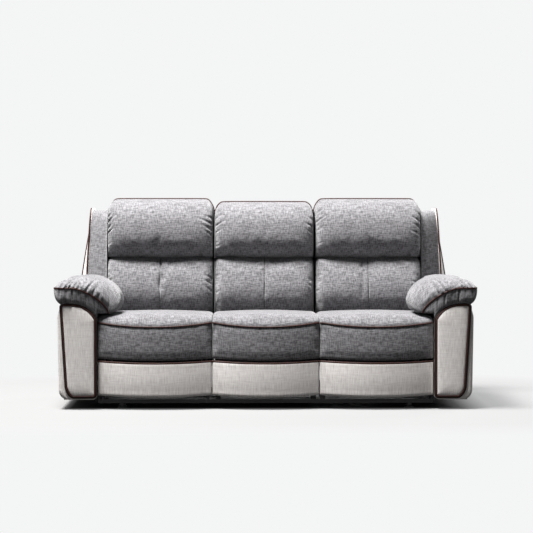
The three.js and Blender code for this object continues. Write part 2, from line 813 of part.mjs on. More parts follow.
function headrestCushion(prefix, centre, half, top) {
  const bottom = lumbarTop + 3 * fit;
  const hook = backTop + fit;
  const rear = halfDepth;
  const face = headrestFaceShares.map(([depth, height]) => [
    headrestBulgeY + depth * (creaseY - headrestBulgeY), bottom + height * (top - bottom)]);
  const outline = [
    [boardFront(bottom) - fit, bottom],
    ...face,
    [rear - headrestRearRound, top - headrestRearRound / 8],
    [rear - headrestRearRound / 4, top - headrestRearRound / 2],
    [rear, top - headrestRearRound],
    [rear, hook],
    [boardFront(hook) - fit, hook],
  ];
  const deepest = boardFront(hook) - headrestBulgeY;
  const section = (share, inset) => backDrawnIn(outline, deepest, hook, top, inset);
  addPiece(`${prefix}_headrest_cushion`, cushion(centre, half, section, backEndInset), greyFabric);
}

// Wings beside the outer headrests, wider towards the bottom and the rear, their fronts swept back outwards

const padRearSlope = (padRearSlopeTop - padRearTop) / (padRearY - padRearSlopeStart);
const padRearLine = y => padRearSlopeTop - padRearSlope * (y - padRearSlopeStart);

// Shares of the way from the front edge to the rear at the wing's top, with height shares
const wingFrontShares = [[0.02, 0.42], [0.08, 0.78], [0.16, 0.94], [0.3, 1]];

function wing(prefix, side) {
  const inner = outerCentre + outerHalf + fit;
  const lowZ = padRearLine(wingFrontY) + wingGap;
  const heelY = armRearY + wingGap;
  const outline = [
    [wingFrontY, lowZ],
    ...wingFrontShares.map(([depth, height]) => [
      wingFrontY + depth * (backRear(wingTop) - wingFrontY), lowZ + height * (wingTop - lowZ)]),
    [backRear(wingTop) - wingFlare, wingTop],
    [backRear(wingTop - wingFlare), wingTop - wingFlare],
    [backRear(wingHeel), wingHeel],
    [heelY, wingHeel],
    [heelY, padRearLine(heelY) + wingHeelGap],
  ];
  const geometry = sidePlate(outline, 0, wingWidthLow, wingRound);
  const position = geometry.getAttribute('position');
  for (let i = 0; i < position.count; i++) {
    const y = position.getY(i);
    const z = position.getZ(i);
    const across = position.getX(i) / wingWidthLow;
    const rise = THREE.MathUtils.clamp((z - lowZ) / (wingTop - lowZ), 0, 1);
    const depth = (y - wingFrontY) / (backRear(wingTop) - wingFrontY);
    const width = THREE.MathUtils.lerp(wingWidthLow - wingFlare + wingFlare * 2 * depth, wingWidthTop, rise);
    const near = THREE.MathUtils.clamp((backRear(z) - y) / (backRear(z) - wingFrontY), 0, 1);
    position.setX(i, inner + across * width);
    position.setY(i, y + wingSweep * across * near);
  }
  addPiece(`${prefix}_wing`, side > 0 ? geometry : mirrored(geometry), greyFabric);
}

// Arms. The outline is that of the front, for the right arm, as [x, z] pairs

const armTopShares = [0.9, 0.72, 0.52, 0.34, 0.2, 0.1, 0.04];
const armShoulder = 18;
const cornerShares = [0, 0.33, 0.67, 1];

function armTopAt(share) {
  return armTopInner + (armTopOuter - armTopInner) * (1 - (1 - share) ** armCurvePower);
}

const armAcross = share => armInner + share * (armPanelOuter - armInner);

function armOutline() {
  const corner = (x, z, radius, start) => cornerShares.map(share => {
    const angle = start + share * Math.PI / 2;
    return [x + radius * Math.cos(angle), z + radius * Math.sin(angle)];
  });
  return [
    ...corner(armInner + armInnerCorner, armBottom + armInnerCorner, armInnerCorner, Math.PI),
    ...corner(armPanelOuter - armOuterCorner, armBottom + armOuterCorner, armOuterCorner, 1.5 * Math.PI),
    ...corner(armPanelOuter - armShoulder, armTopOuter - armShoulder, armShoulder, 0).slice(0, -1),
    ...armTopShares.map(share => [armAcross(share), armTopAt(share)]),
    [armInner, armTopInner],
  ];
}

// Lengthwise places of the cover's sections, from the front, with shares of the side bulge
const armBulgeShares = [[0, 0], [0.03, 0.55], [0.1, 1], [0.85, 1], [0.95, 0.8], [1, 0.3]];

function armCover(prefix, side) {
  const middle = (armInner + armPanelOuter) / 2;
  const rings = armBulgeShares.map(([place, bulge]) => armOutline().map(([x, z]) => {
    const low = THREE.MathUtils.clamp((armTopOuter - z) / (armTopOuter - armTopInner), 0, 1);
    const out = x > middle ? bulge * armSideBulge * low : 0;
    return new THREE.Vector3(x + out, armFrontY + place * (armRearY - armFrontY), z);
  }));
  const shell = loft(rings, point => [point.x, point.z]);
  const hollow = block(armInner + armWall, armOuter - armPadding, armFrontY + armWall, armRearY - armWall,
    armBottom - cutOverrun, armTopInner - 3 * armWall);
  const pocket = block(armOuter - cupDepth - fit, armOuter + cutOverrun, leverY - cupWidth / 2 - fit,
    leverY + cupWidth / 2 + fit, leverHeight - cupHeight / 2 - fit, leverHeight + cupHeight / 2 + fit);
  const geometry = cutBy(shell, [hollow, pocket]);
  addPiece(`${prefix}_arm_cover`, side > 0 ? geometry : mirrored(geometry), ivoryFabric);
}

function armFrame(prefix, side) {
  const x0 = armInner + armWall + fit;
  const x1 = armOuter - armPadding - fit;
  const y0 = armFrontY + armWall + fit;
  const y1 = armRearY - armWall - fit;
  const top = armTopInner - 3 * armWall - fit;
  const outer = block(x0, x1, y0, y1, armBottom + fit, top);
  const inner = block(x0 + armFrameBoard, x1 - armFrameBoard, y0 + armFrameBoard, y1 - armFrameBoard,
    armBottom - cutOverrun, top - armFrameBoard);
  const geometry = cutBy(outer, [inner]);
  addPiece(`${prefix}_arm_frame`, side > 0 ? geometry : mirrored(geometry), plywood);
}

function armFront(prefix, side) {
  const face = armFrontY - fit;
  const loop = cordLoop(insetLoop(armOutline(), armPipingInset), face - thickPipingRadius, thickPipingRadius);
  const panelOutline = insetLoop(armOutline(), armPipingInset + thickPipingRadius + 2 * fit);
  const panel = frontPlate(panelOutline, face - armPanelThickness, face);
  addPiece(`${prefix}_arm_front_panel`, side > 0 ? panel : mirrored(panel), ivoryFabric);
  addPiece(`${prefix}_arm_panel_piping`, side > 0 ? loop : mirrored(loop), brownPiping);
}

// Arm pads: a pillow over the arm whose front seam runs from the outer tip down to the inner end

const padOuter = halfWidth - thickPipingRadius / 2;
const padInner = armInner - padReach;
const padNose = -halfDepth + thickPipingRadius;

// Shares across the pad from its outer tip, with height shares between the inner bottom and the top
const padUpperShares = [
  [0.025, 0.84], [0.125, 0.955], [0.295, 1], [0.5, 0.98], [0.685, 0.87], [0.835, 0.71], [0.952, 0.485], [1, 0.27],
  [0.977, 0.11],
];
const padLipShare = 0.9;
const padTipLowShares = [[0.075, 0.28], [0.02, 0.46], [0, 0.66]];
// Lengthwise shares of the nose with how far the section has grown above and below the seam
const padNoseShares = [
  [0, 0.06, 0.3], [0.03, 0.3, 0.65], [0.11, 0.52, 0.92], [0.27, 0.74, 1], [0.54, 0.9, 1], [1, 1, 1],
];
const padNoseLength = 130;
const padBodyShares = [0.3, 0.55, 0.72, 0.85, 0.93, 1];
const padInnerLeftShare = 0.02;

function padSeamZ(x) {
  const across = THREE.MathUtils.clamp((padSeamFlat - x) / (padSeamFlat - padSeamInner), 0, 1);
  const drop = (1 - across ** padSeamPower) ** (1 / padSeamPower);
  return padSeamInnerHeight + (padSeamHeight - padSeamInnerHeight) * drop;
}

function padSlant(x) {
  const across = THREE.MathUtils.clamp((padSeamFlat - x) / (padSeamFlat - padSeamInner), 0, 1);
  return padNoseSlant * across ** 3;
}

function padSectionPoints() {
  const width = padOuter - padInner;
  const height = padTop - padInnerBottom;
  const at = ([across, rise]) => [padOuter - across * width, padInnerBottom + rise * height];
  const upper = padUpperShares.map(at);
  const lower = [
    [padOuter - padLipShare * width, padInnerBottom],
    [armInner - 4 * fit, padInnerBottom],
    [armInner, armTopInner + 2 * fit],
    ...[...armTopShares].reverse().map(share => [armAcross(share), armTopAt(share) + 2 * fit]),
    ...padTipLowShares.map(at),
  ];
  return { upper, lower };
}

function padCap(y) {
  const early = padTop - (padTop - padRearSlopeTop) * (y - padRearFlat) / (padRearSlopeStart - padRearFlat);
  if (y <= padRearFlat) return padTop;
  return y < padRearSlopeStart ? early : padRearLine(y);
}

function padRing(y, noseBlend, growUp, growLow) {
  const { upper, lower } = padSectionPoints();
  const keep = 1 - THREE.MathUtils.smoothstep(y, padInnerStart, padInnerEnd) * (1 - padInnerLeftShare);
  const grown = (points, growth) => points.map(([x, z]) => {
    const seamX = THREE.MathUtils.clamp(x, padSeamInner, padOuter);
    const seamZ = padSeamZ(seamX);
    let px = seamX + growth * (x - seamX);
    const pz = Math.min(seamZ + growth * (z - seamZ), padCap(y));
    const edge = armInner - fit;
    if (px < edge) px = edge - (edge - px) * keep;
    return new THREE.Vector3(px, y + noseBlend * padSlant(seamX), pz);
  });
  return [...grown(upper, growUp), ...grown(lower, growLow)];
}

// From the inner end of the front seam to the outer corner and back along the outer side
const padFrontShares = [0, 0.01, 0.03, 0.07, 0.13, 0.21, 0.32, 0.46, 0.63, 0.82, 1];
const padSideShares = [0.08, 0.16, 0.24, 0.33, 0.42, 0.51, 0.6, 0.69, 0.77, 0.84, 0.91, 0.96];
const padCornerShares = [0, 0.2, 0.4, 0.6, 0.8, 1];
const padCornerRadius = 40;

function padPipingPoints() {
  const outer = halfWidth - thickPipingRadius;
  const front = padFrontShares.map(share => {
    const x = padSeamInner + share * (padSeamFlat - padSeamInner);
    return [x, padNose + padSlant(x), padSeamZ(x)];
  });
  const corner = padCornerShares.map(share => {
    const angle = share * Math.PI / 2;
    return [
      outer - padCornerRadius * (1 - Math.sin(angle)),
      padNose + padCornerRadius * (1 - Math.cos(angle)),
      padSeamHeight,
    ];
  });
  const side = padSideShares.map(share => {
    const y = padNose + share * (padRearY - padNose);
    return [outer, y, Math.min(padSeamHeight, padCap(y) - 2 * thickPipingRadius)];
  });
  return [...front, ...corner, ...side];
}

function armPad(prefix, side) {
  const nose = padNoseShares.map(([place, up, low]) => padRing(padNose + place * padNoseLength, 1 - place, up, low));
  const start = padNose + padNoseLength;
  const body = padBodyShares.map(share => padRing(start + share * (padRearY - start), 0, 1, 1));
  const pad = loft([...nose, ...body], point => [point.x, point.z]);
  const geometry = cutBy(pad, [groove(padPipingPoints(), thickPipingRadius)]);
  const piping = cord(padPipingPoints(), thickPipingRadius);
  addPiece(`${prefix}_arm_pad`, side > 0 ? geometry : mirrored(geometry), greyFabric);
  addPiece(`${prefix}_arm_pad_piping`, side > 0 ? piping : mirrored(piping), brownPiping);
}

// Release lever and its cup

function releaseCup(prefix, side) {
  const y0 = leverY - cupWidth / 2;
  const y1 = leverY + cupWidth / 2;
  const z0 = leverHeight - cupHeight / 2;
  const z1 = leverHeight + cupHeight / 2;
  const lipOut = armOuter + fit + cupWall;
  const shell = joined([
    block(armOuter - cupDepth, lipOut, y0, y1, z0, z1),
    block(armOuter + fit, lipOut, y0 - cupLip, y1 + cupLip, z0 - cupLip, z1 + cupLip),
  ]);
  const hollow = block(armOuter - cupDepth + cupWall, lipOut + cutOverrun, y0 + cupWall, y1 - cupWall,
    z0 + cupWall, z1 - cupWall);
  const pinHole = rodAlong(
    leverPinRadius + pinClearance, y0 - fit / 2, y1 + fit / 2, leverPivotX, leverPivotZ, pinSides);
  const geometry = cutBy(shell, [hollow, pinHole]);
  addPiece(`${prefix}_release_cup`, side > 0 ? geometry : mirrored(geometry), blackPlastic);
}

const leverPivotX = armOuter - leverPivotDepth;
const leverPivotZ = leverHeight + cupHeight / 2 - leverPivotDrop;

function releaseLever(prefix, side) {
  const half = cupWidth / 2 - cupWall - leverSideGap;
  const pinHalf = cupWidth / 2 - fit;
  const tip = leverHeight - cupHeight / 2 + cupWall + leverTipGap;
  const geometry = joined([
    block(leverPivotX - leverThickness / 2, leverPivotX + leverThickness / 2, leverY - half, leverY + half,
      tip, leverPivotZ + leverThickness / 2),
    rodAlong(leverPinRadius, leverY - pinHalf, leverY + pinHalf, leverPivotX, leverPivotZ, pinSides),
  ]);
  addPiece(`${prefix}_release_lever`, side > 0 ? geometry : mirrored(geometry), blackPlastic);
}

// Footrest mechanism. A place along and across a link that points at an angle above straight ahead
function placed([y, z], along, across, degrees) {
  const angle = degrees * toRadians;
  const ahead = along * Math.cos(angle) - across * Math.sin(angle);
  const up = along * Math.sin(angle) + across * Math.cos(angle);
  return [y - ahead, z + up];
}

const torqueTube = [torqueTubeY, torqueTubeHeight];
const onLowerLink = (along, across) => placed(torqueTube, along, across, lowerClosedAngle);
const elbow = onLowerLink(lowerLinkLength, 0);
const heel = onLowerLink(lowerHeelAlong, lowerHeelAcross);
const knee = onLowerLink(lowerKneeAlong, lowerKneeAcross);
const shin = onLowerLink(lowerShinAlong, lowerShinAcross);
const bracketPivot = placed(elbow, upperLinkLength, 0, upperClosedAngle);
const openPivot = placed(heel, supportLinkLength, 0, supportClosedAngle);

// Layers of link plates, counted inwards from the seat frame's plates
const layerInner = layer => plateInner - layer * (layerGap + plateThickness);
const supportLayer = 1;
const lowerLayer = 2;
const upperLayer = 3;

function onBothSides(centre, inner, outer, make) {
  return [-1, 1].flatMap(side => make(...ordered(centre + side * inner, centre + side * outer)));
}

const belt = (points, radius) => beltOutline(points.map(([y, z]) => [y, z, radius]));

function lowerLinks(prefix, centre) {
  const inner = layerInner(lowerLayer);
  const outer = inner + plateThickness;
  const reach = plateInner + plateThickness;
  const plates = onBothSides(centre, inner, outer, (low, high) => [
    sidePlate(belt([torqueTube, knee], linkHalfWidth), low, high),
    sidePlate(belt([knee, shin], linkHalfWidth), low, high),
    sidePlate(belt([shin, heel, elbow], linkHalfWidth), low, high),
    sidePlate(belt([torqueTube], 1.4 * torqueTubeRadius), low, high),
  ]);
  const tube = rodAcross(torqueTubeRadius, centre - reach, centre + reach, ...torqueTube, tubeSides);
  const holes = onBothSides(centre, inner - fit, outer + fit, (low, high) => [elbow, heel].map(
    pivot => rodAcross(linkPinRadius + pinClearance, low, high, ...pivot, pinSides)));
  addPiece(`${prefix}_lower_links`, joined([cutBy(joined(plates.slice(0, 4)), holes.slice(0, 2)),
    cutBy(joined(plates.slice(4)), holes.slice(2)), tube]), zincSteel);
}

function upperLinks(prefix, centre) {
  const inner = layerInner(upperLayer);
  const outer = inner + plateThickness;
  const reach = layerInner(lowerLayer) + plateThickness;
  const plates = onBothSides(centre, inner, outer, (low, high) => [
    sidePlate(belt([elbow, bracketPivot], linkHalfWidth), low, high)]);
  const pins = onBothSides(centre, inner, reach, (low, high) => [
    rodAcross(linkPinRadius, low, high, ...bracketPivot, pinSides)]);
  const rod = rodAcross(linkPinRadius, centre - reach, centre + reach, ...elbow, pinSides);
  addPiece(`${prefix}_upper_links`, joined([...plates, ...pins, rod]), zincSteel);
}

function supportLinks(prefix, centre) {
  const inner = layerInner(supportLayer);
  const outer = inner + plateThickness;
  const plates = onBothSides(centre, inner, outer, (low, high) => [
    sidePlate(belt([heel, openPivot], linkHalfWidth), low, high)]);
  const pins = onBothSides(centre, layerInner(lowerLayer), outer, (low, high) => [
    rodAcross(linkPinRadius, low, high, ...openPivot, pinSides)]);
  const rod = rodAcross(linkPinRadius, centre - outer, centre + outer, ...heel, pinSides);
  addPiece(`${prefix}_support_links`, joined([...plates, ...pins, rod]), zincSteel);
}

function footrestBoard(prefix, centre, half) {
  const front = footrestPadBack + fit;
  const rear = front + footrestBoardThickness;
  const width = half - footrestBoardInset;
  const board = block(centre - width, centre + width, front, rear,
    panelBottomSide + footrestBoardInset / 2, panelTopSide - footrestBoardInset);
  const root = rear - footrestBoardThickness / 2;
  const edge = footrestBoardThickness / 3;
  const outline = beltOutline([
    [...bracketPivot, linkHalfWidth], [...openPivot, linkHalfWidth],
    [root, bracketPivot[1] + linkHalfWidth - edge, edge], [root, bracketPivot[1] - 2 * bracketHalfHeight, edge],
  ]);
  const inner = layerInner(lowerLayer);
  const outer = inner + plateThickness;
  const brackets = onBothSides(centre, inner, outer, (low, high) => {
    const holes = [
      rodAcross(linkPinRadius + pinClearance, low - fit, high + fit, ...bracketPivot, pinSides),
      rodAcross(linkPinRadius + openPivotClearance, low - fit, high + fit, ...openPivot, pinSides),
    ];
    return [cutBy(sidePlate(outline, low, high), holes)];
  });
  addPiece(`${prefix}_footrest_board`, joined([board, ...brackets]), plywood);
}

// Steel base and feet

function baseFrame() {
  const reach = armInner - fit;
  const pieces = [
    block(-reach, reach, baseFrontY, baseFrontY + baseRailDepth, railBottomHeight, railTopHeight),
    block(-reach, reach, baseRearY - baseRailDepth, baseRearY, railBottomHeight, railTopHeight),
  ];
  [-1, 1].forEach(side => {
    const [low, high] = ordered(side * (reach - armPlateThickness), side * reach);
    pieces.push(block(low, high, baseFrontY, baseRearY, railBottomHeight, armPlateTopHeight));
    [-1, 1].forEach(end => {
      const centre = side * outerCentre;
      const outer = end * (outerHalf - frameSideInset);
      const [trackLow, trackHigh] = ordered(centre + outer, centre + outer - end * trackWidth);
      pieces.push(block(trackLow, trackHigh, baseFrontY, baseRearY, railBottomHeight, trackTopHeight));
    });
  });
  addPiece('base_frame', joined(pieces), blackSteel);
}

function foot(name, x, y) {
  const top = railBottomHeight - fit;
  const profile = [[0, 0], [footRadius, 0], [footRadius, top / 3], [footNeckRadius, top / 2], [footNeckRadius, top],
    [0, top]].map(([radius, z]) => new THREE.Vector2(radius, z));
  const geometry = new THREE.LatheGeometry(profile, pinSides);
  addPiece(name, geometry.rotateX(Math.PI / 2).translate(x, y, 0), blackPlastic);
}

// Assembly

function recliner(prefix, side) {
  const centre = side * outerCentre;
  recliningSeatFrame(prefix, centre, outerHalf);
  seatCushion(prefix, centre, outerHalf);
  backFrame(prefix, centre, outerHalf, hingeBrackets);
  backCover(prefix, centre, outerHalf);
  lumbarCushion(prefix, centre, outerHalf - lumbarPadGap);
  headrestCushion(prefix, centre, outerHalf, headrestTop);
  wing(prefix, side);
  frontPanel(`${prefix}_footrest_pad`, `${prefix}_footrest_piping`, centre, outerHalf, footrestPadBack);
  footrestBoard(prefix, centre, outerHalf);
  lowerLinks(prefix, centre);
  upperLinks(prefix, centre);
  supportLinks(prefix, centre);
}

function middleSeat() {
  fixedSeatFrame('middle', 0, middleHalf);
  seatCushion('middle', 0, middleHalf);
  backFrame('middle', 0, middleHalf, fixedBrackets);
  backCover('middle', 0, middleHalf);
  lumbarCushion('middle', 0, middleHalf);
  headrestCushion('middle', 0, middleHalf, headrestTop - middleHeadrestDrop);
  frontPanel('middle_front_panel', 'middle_panel_piping', 0, middleHalf, seatFrameFront - fit);
}

function arm(prefix, side) {
  armFrame(prefix, side);
  armCover(prefix, side);
  armFront(prefix, side);
  armPad(prefix, side);
  releaseCup(prefix, side);
  releaseLever(prefix, side);
}

baseFrame();
[['left', -1], ['right', 1]].forEach(([prefix, side]) => {
  const footX = side * (armInner - footInset);
  foot(`${prefix}_front_foot`, footX, baseFrontY + baseRailDepth / 2);
  foot(`${prefix}_rear_foot`, footX, baseRearY - baseRailDepth / 2);
  arm(prefix, side);
  recliner(prefix, side);
});
middleSeat();

export default sofa;
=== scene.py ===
"""Three-seat reclining sofa: the surfaces, cloths and finishes that are seen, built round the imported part.

Metres, +Z up, front towards -Y, the same frame as the part's.
"""
import json
import math

import bmesh
import bpy
import numpy as np
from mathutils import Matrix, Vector


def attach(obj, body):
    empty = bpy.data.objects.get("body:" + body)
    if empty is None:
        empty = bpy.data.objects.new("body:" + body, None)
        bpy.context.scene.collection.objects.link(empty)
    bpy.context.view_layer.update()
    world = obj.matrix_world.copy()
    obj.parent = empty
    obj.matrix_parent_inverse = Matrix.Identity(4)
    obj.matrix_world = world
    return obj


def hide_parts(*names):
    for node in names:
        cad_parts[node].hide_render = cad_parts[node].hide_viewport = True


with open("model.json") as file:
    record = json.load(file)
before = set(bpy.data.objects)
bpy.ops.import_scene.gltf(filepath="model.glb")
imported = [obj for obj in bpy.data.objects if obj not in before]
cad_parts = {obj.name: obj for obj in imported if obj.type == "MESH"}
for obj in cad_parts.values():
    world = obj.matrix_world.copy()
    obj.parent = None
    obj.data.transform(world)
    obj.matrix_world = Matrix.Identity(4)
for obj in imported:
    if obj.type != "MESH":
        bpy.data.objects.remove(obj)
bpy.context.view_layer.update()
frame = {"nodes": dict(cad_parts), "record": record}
nodes = frame["nodes"]
SIDES = {"left": -1, "right": 1}

# Camera
CAMERA_PLACE = (-0.112, -9.0, 0.939)
CAMERA_TARGET = (0.009, 0.0, 0.682)
CAMERA_LENS = 119.2
SENSOR_WIDTH = 36

# Sizes of the seats
OUTER_HALF = 0.2765
MIDDLE_HALF = 0.26
OUTER_CENTRE = 0.5395
SEAT_FRONT_SIDE = -0.431
SEAT_BOW = 0.046
SEAT_REAR = 0.075
SEAT_SIDE_HEIGHT = 0.455
SEAT_CROWN = 0.009
SEAT_SEAM_HEIGHT = 0.422
SEAT_SEAM_DIP = 0.02
SEAT_ROLL_DEPTH = 0.19
SEAT_SEAM_DEPTH = 0.0045
APRON_REAR = -0.381
DECK_HEIGHT = 0.3303
PANEL_TOP = 0.236
PANEL_BOTTOM = 0.068
PANEL_DIP = 0.008
PANEL_SEAT_GAP = 0.009
PANEL_BULGE = 0.004
PANEL_CORD_DROP = 0.0035
PANEL_EASE = 0.0015
THIN_CORD = 0.0033
THICK_CORD = 0.0045
PANEL_CORD = 0.0055

# Sizes of the back
BOARD_FRONT_LOW = 0.2714
BACK_LOW = 0.15
BACK_TOP = 0.955
BACK_SLOPE = 0.17 / 0.805
COVER_REAR_LOW = 0.302
COVER_FLANGE = 0.028
LUMBAR_LOW = 0.35
LUMBAR_TOP = 0.722
LUMBAR_BULGE_Y = 0.076
CREASE_Y = 0.152
HEADREST_LOW = 0.7229
HEADREST_TOP = 1.0255
MIDDLE_HEADREST_TOP = 1.01
HEADREST_BULGE_Y = 0.101
HEADREST_REAR = 0.48

# Sizes of the arms
ARM_INNER = 0.8205
ARM_PANEL_OUTER = 0.997
ARM_BULGE = 0.016
ARM_LOW = 0.048
ARM_TOP_INNER = 0.44
ARM_TOP_OUTER = 0.515
ARM_FRONT = -0.455
ARM_REAR = 0.255
PAD_OUTER = 1.02775
PAD_INNER = 0.7085
PAD_LOW = 0.466
PAD_TOP = 0.632
PAD_NOSE = -0.4755
PAD_REAR = 0.226
PAD_SEAM_HEIGHT = 0.59
PAD_SEAM_FLAT = 0.9365
PAD_SEAM_INNER = 0.766

TINY = 1e-9
SAME_PLACE = 2e-6


# Curves and surfaces

def spline_matrix(reference, count):
    """Weights that turn a row of control points into count points on a smooth curve through them.

    The curve is a cubic Hermite spline whose knots are a root of the chord apart. A control's tangent is the mean of
    the slopes on its two sides, each weighed by the other side's step. The points are evenly spaced along it.
    """
    reference = np.asarray(reference, float)
    size = len(reference)
    chords = np.linalg.norm(np.diff(reference, axis=0), axis=1)
    knots = np.concatenate([[0], np.cumsum(np.sqrt(np.maximum(chords, TINY)))])
    steps = np.diff(knots)
    identity = np.eye(size)
    slopes = np.diff(identity, axis=0) / steps[:, None]
    tangents = np.zeros((size, size))
    tangents[0] = slopes[0]
    tangents[-1] = slopes[-1]
    if size > 2:
        before = steps[:-1, None]
        after = steps[1:, None]
        tangents[1:-1] = (slopes[:-1] * after + slopes[1:] * before) / (before + after)
    dense = np.linspace(0, knots[-1], size * 30)
    span = np.clip(np.searchsorted(knots, dense, side="right") - 1, 0, size - 2)
    step = steps[span][:, None]
    t = ((dense - knots[span]) / steps[span])[:, None]
    weights = (2 * t**3 - 3 * t**2 + 1) * identity[span]
    weights += (t**3 - 2 * t**2 + t) * step * tangents[span]
    weights += (3 * t**2 - 2 * t**3) * identity[span + 1]
    weights += (t**3 - t**2) * step * tangents[span + 1]
    curve = weights @ reference
    length = np.concatenate([[0], np.cumsum(np.linalg.norm(np.diff(curve, axis=0), axis=1))])
    wanted = np.linspace(0, length[-1], count)
    return np.stack([np.interp(wanted, length, column) for column in weights.T], axis=1)


def runs_matrix(reference, runs):
    """The weights of several splines in a row that meet at corners, and the column where each one starts.

    A run is a first control, a last control and the number of steps along it. The last run ends where the first
    one starts, so the loop is closed and its last point is left out.
    """
    reference = np.asarray(reference, float)
    blocks = []
    starts = []
    column = 0
    for first, last, steps in runs:
        chosen = np.arange(first, last + 1) % len(reference)
        part = spline_matrix(reference[chosen], steps + 1)
        block = np.zeros((steps, len(reference)))
        np.add.at(block, (slice(None), chosen), part[:-1])
        blocks.append(block)
        starts.append(column)
        column += steps
    return np.concatenate(blocks), starts


def curve(points, count):
    """Count points evenly spaced on the smooth curve through the given points."""
    return spline_matrix(points, count) @ np.asarray(points, float)


def resampled(loop, count):
    """Count points evenly spaced along a closed polygon."""
    closed = np.concatenate([loop, loop[:1]])
    length = np.concatenate([[0], np.cumsum(np.linalg.norm(np.diff(closed, axis=0), axis=1))])
    wanted = np.linspace(0, length[-1], count, endpoint=False)
    return np.stack([np.interp(wanted, length, closed[:, k]) for k in range(closed.shape[1])], axis=1)


def smoothstep(value, low, high):
    """0 below low, 1 above high, and 3t^2 - 2t^3 between them."""
    t = np.clip((value - low) / (high - low), 0, 1)
    return t * t * (3 - 2 * t)


def normals(points, wrap=True):
    """Unit normals of a grid of points: the cross product of its two central differences."""
    if wrap:
        around = np.roll(points, -1, axis=1) - np.roll(points, 1, axis=1)
    else:
        around = np.gradient(points, axis=1)
    along = np.gradient(points, axis=0)
    normal = np.cross(along, around)
    return normal / np.maximum(np.linalg.norm(normal, axis=2, keepdims=True), TINY)


def grid_volume(points):
    """Signed volume of a grid that is closed round its columns, its ends taken as fans: the sum of the tetrahedra
    between the origin and each half of each cell."""
    a = points[:-1]
    b = points[1:]
    c = np.roll(b, -1, axis=1)
    d = np.roll(a, -1, axis=1)
    volume = np.sum(a * np.cross(b, c)) + np.sum(a * np.cross(c, d))
    first = points[0]
    last = points[-1]
    volume += np.sum(first.mean(axis=0) * np.cross(first, np.roll(first, -1, axis=0)))
    volume -= np.sum(last.mean(axis=0) * np.cross(last, np.roll(last, -1, axis=0)))
    return volume / 6


def arc_lengths(points, axis):
    """Distance along a grid's rows or columns from their first point, as the mean over the other direction."""
    step = np.linalg.norm(np.diff(points, axis=axis), axis=2)
    mean = step.mean(axis=1 - axis)
    return np.concatenate([[0], np.cumsum(mean)])


def piece(name, points, material, body, uv=None):
    """A closed piece from a grid that wraps round its columns.

    Each cell is one face and each end ring is one flat face, unless the last ring is the first one again. The faces
    are turned outwards by the sign of the volume, and points that coincide become one. The map is the distance along
    the rows and round the columns.
    """
    rows, columns = points.shape[:2]
    if uv is None:
        closed = np.concatenate([points, points[:, :1]], axis=1)
        along = arc_lengths(points, 0)
        around = arc_lengths(closed, 1)
        uv = np.stack(np.meshgrid(along, around, indexing="ij"), axis=2)
    row, column = np.meshgrid(np.arange(rows - 1), np.arange(columns), indexing="ij")
    after = (column + 1) % columns
    quads = np.stack([row * columns + column, (row + 1) * columns + column,
                      (row + 1) * columns + after, row * columns + after], axis=2).reshape(-1, 4)
    map_corners = np.stack([uv[row, column], uv[row + 1, column], uv[row + 1, column + 1], uv[row, column + 1]],
                           axis=2).reshape(-1, 4, 2)
    turned = grid_volume(points) < 0
    turn = -1 if turned else 1
    faces = quads[:, ::turn].tolist()
    map_rows = [map_corners[:, ::turn].reshape(-1, 2)]
    if not np.allclose(points[0], points[-1]):
        first = np.arange(columns)[::turn]
        last = np.arange(columns)[::-turn]
        faces += [first.tolist(), (last + (rows - 1) * columns).tolist()]
        map_rows += [flat_map(points[0])[first], flat_map(points[-1])[last]]
    mesh = bpy.data.meshes.new(name)
    mesh.from_pydata(points.reshape(-1, 3).tolist(), [], faces)
    layer = mesh.uv_layers.new(name="cloth")
    layer.data.foreach_set("uv", np.concatenate(map_rows).astype(np.float32).ravel())
    mesh.polygons.foreach_set("use_smooth", np.ones(len(mesh.polygons), bool))
    mesh.materials.append(material)
    merge_points(mesh)
    made = bpy.data.objects.new(name, mesh)
    bpy.context.scene.collection.objects.link(made)
    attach(made, body)
    return made


def flat_map(ring):
    """A ring's places on the plane of its two widest directions."""
    widest = np.sort(np.argsort(np.ptp(ring, axis=0))[1:])
    return ring[:, widest]


def merge_points(mesh):
    """Makes one point of those that coincide."""
    work = bmesh.new()
    work.from_mesh(mesh)
    bmesh.ops.remove_doubles(work, verts=work.verts, dist=SAME_PLACE)
    work.to_mesh(mesh)
    work.free()
    mesh.update()


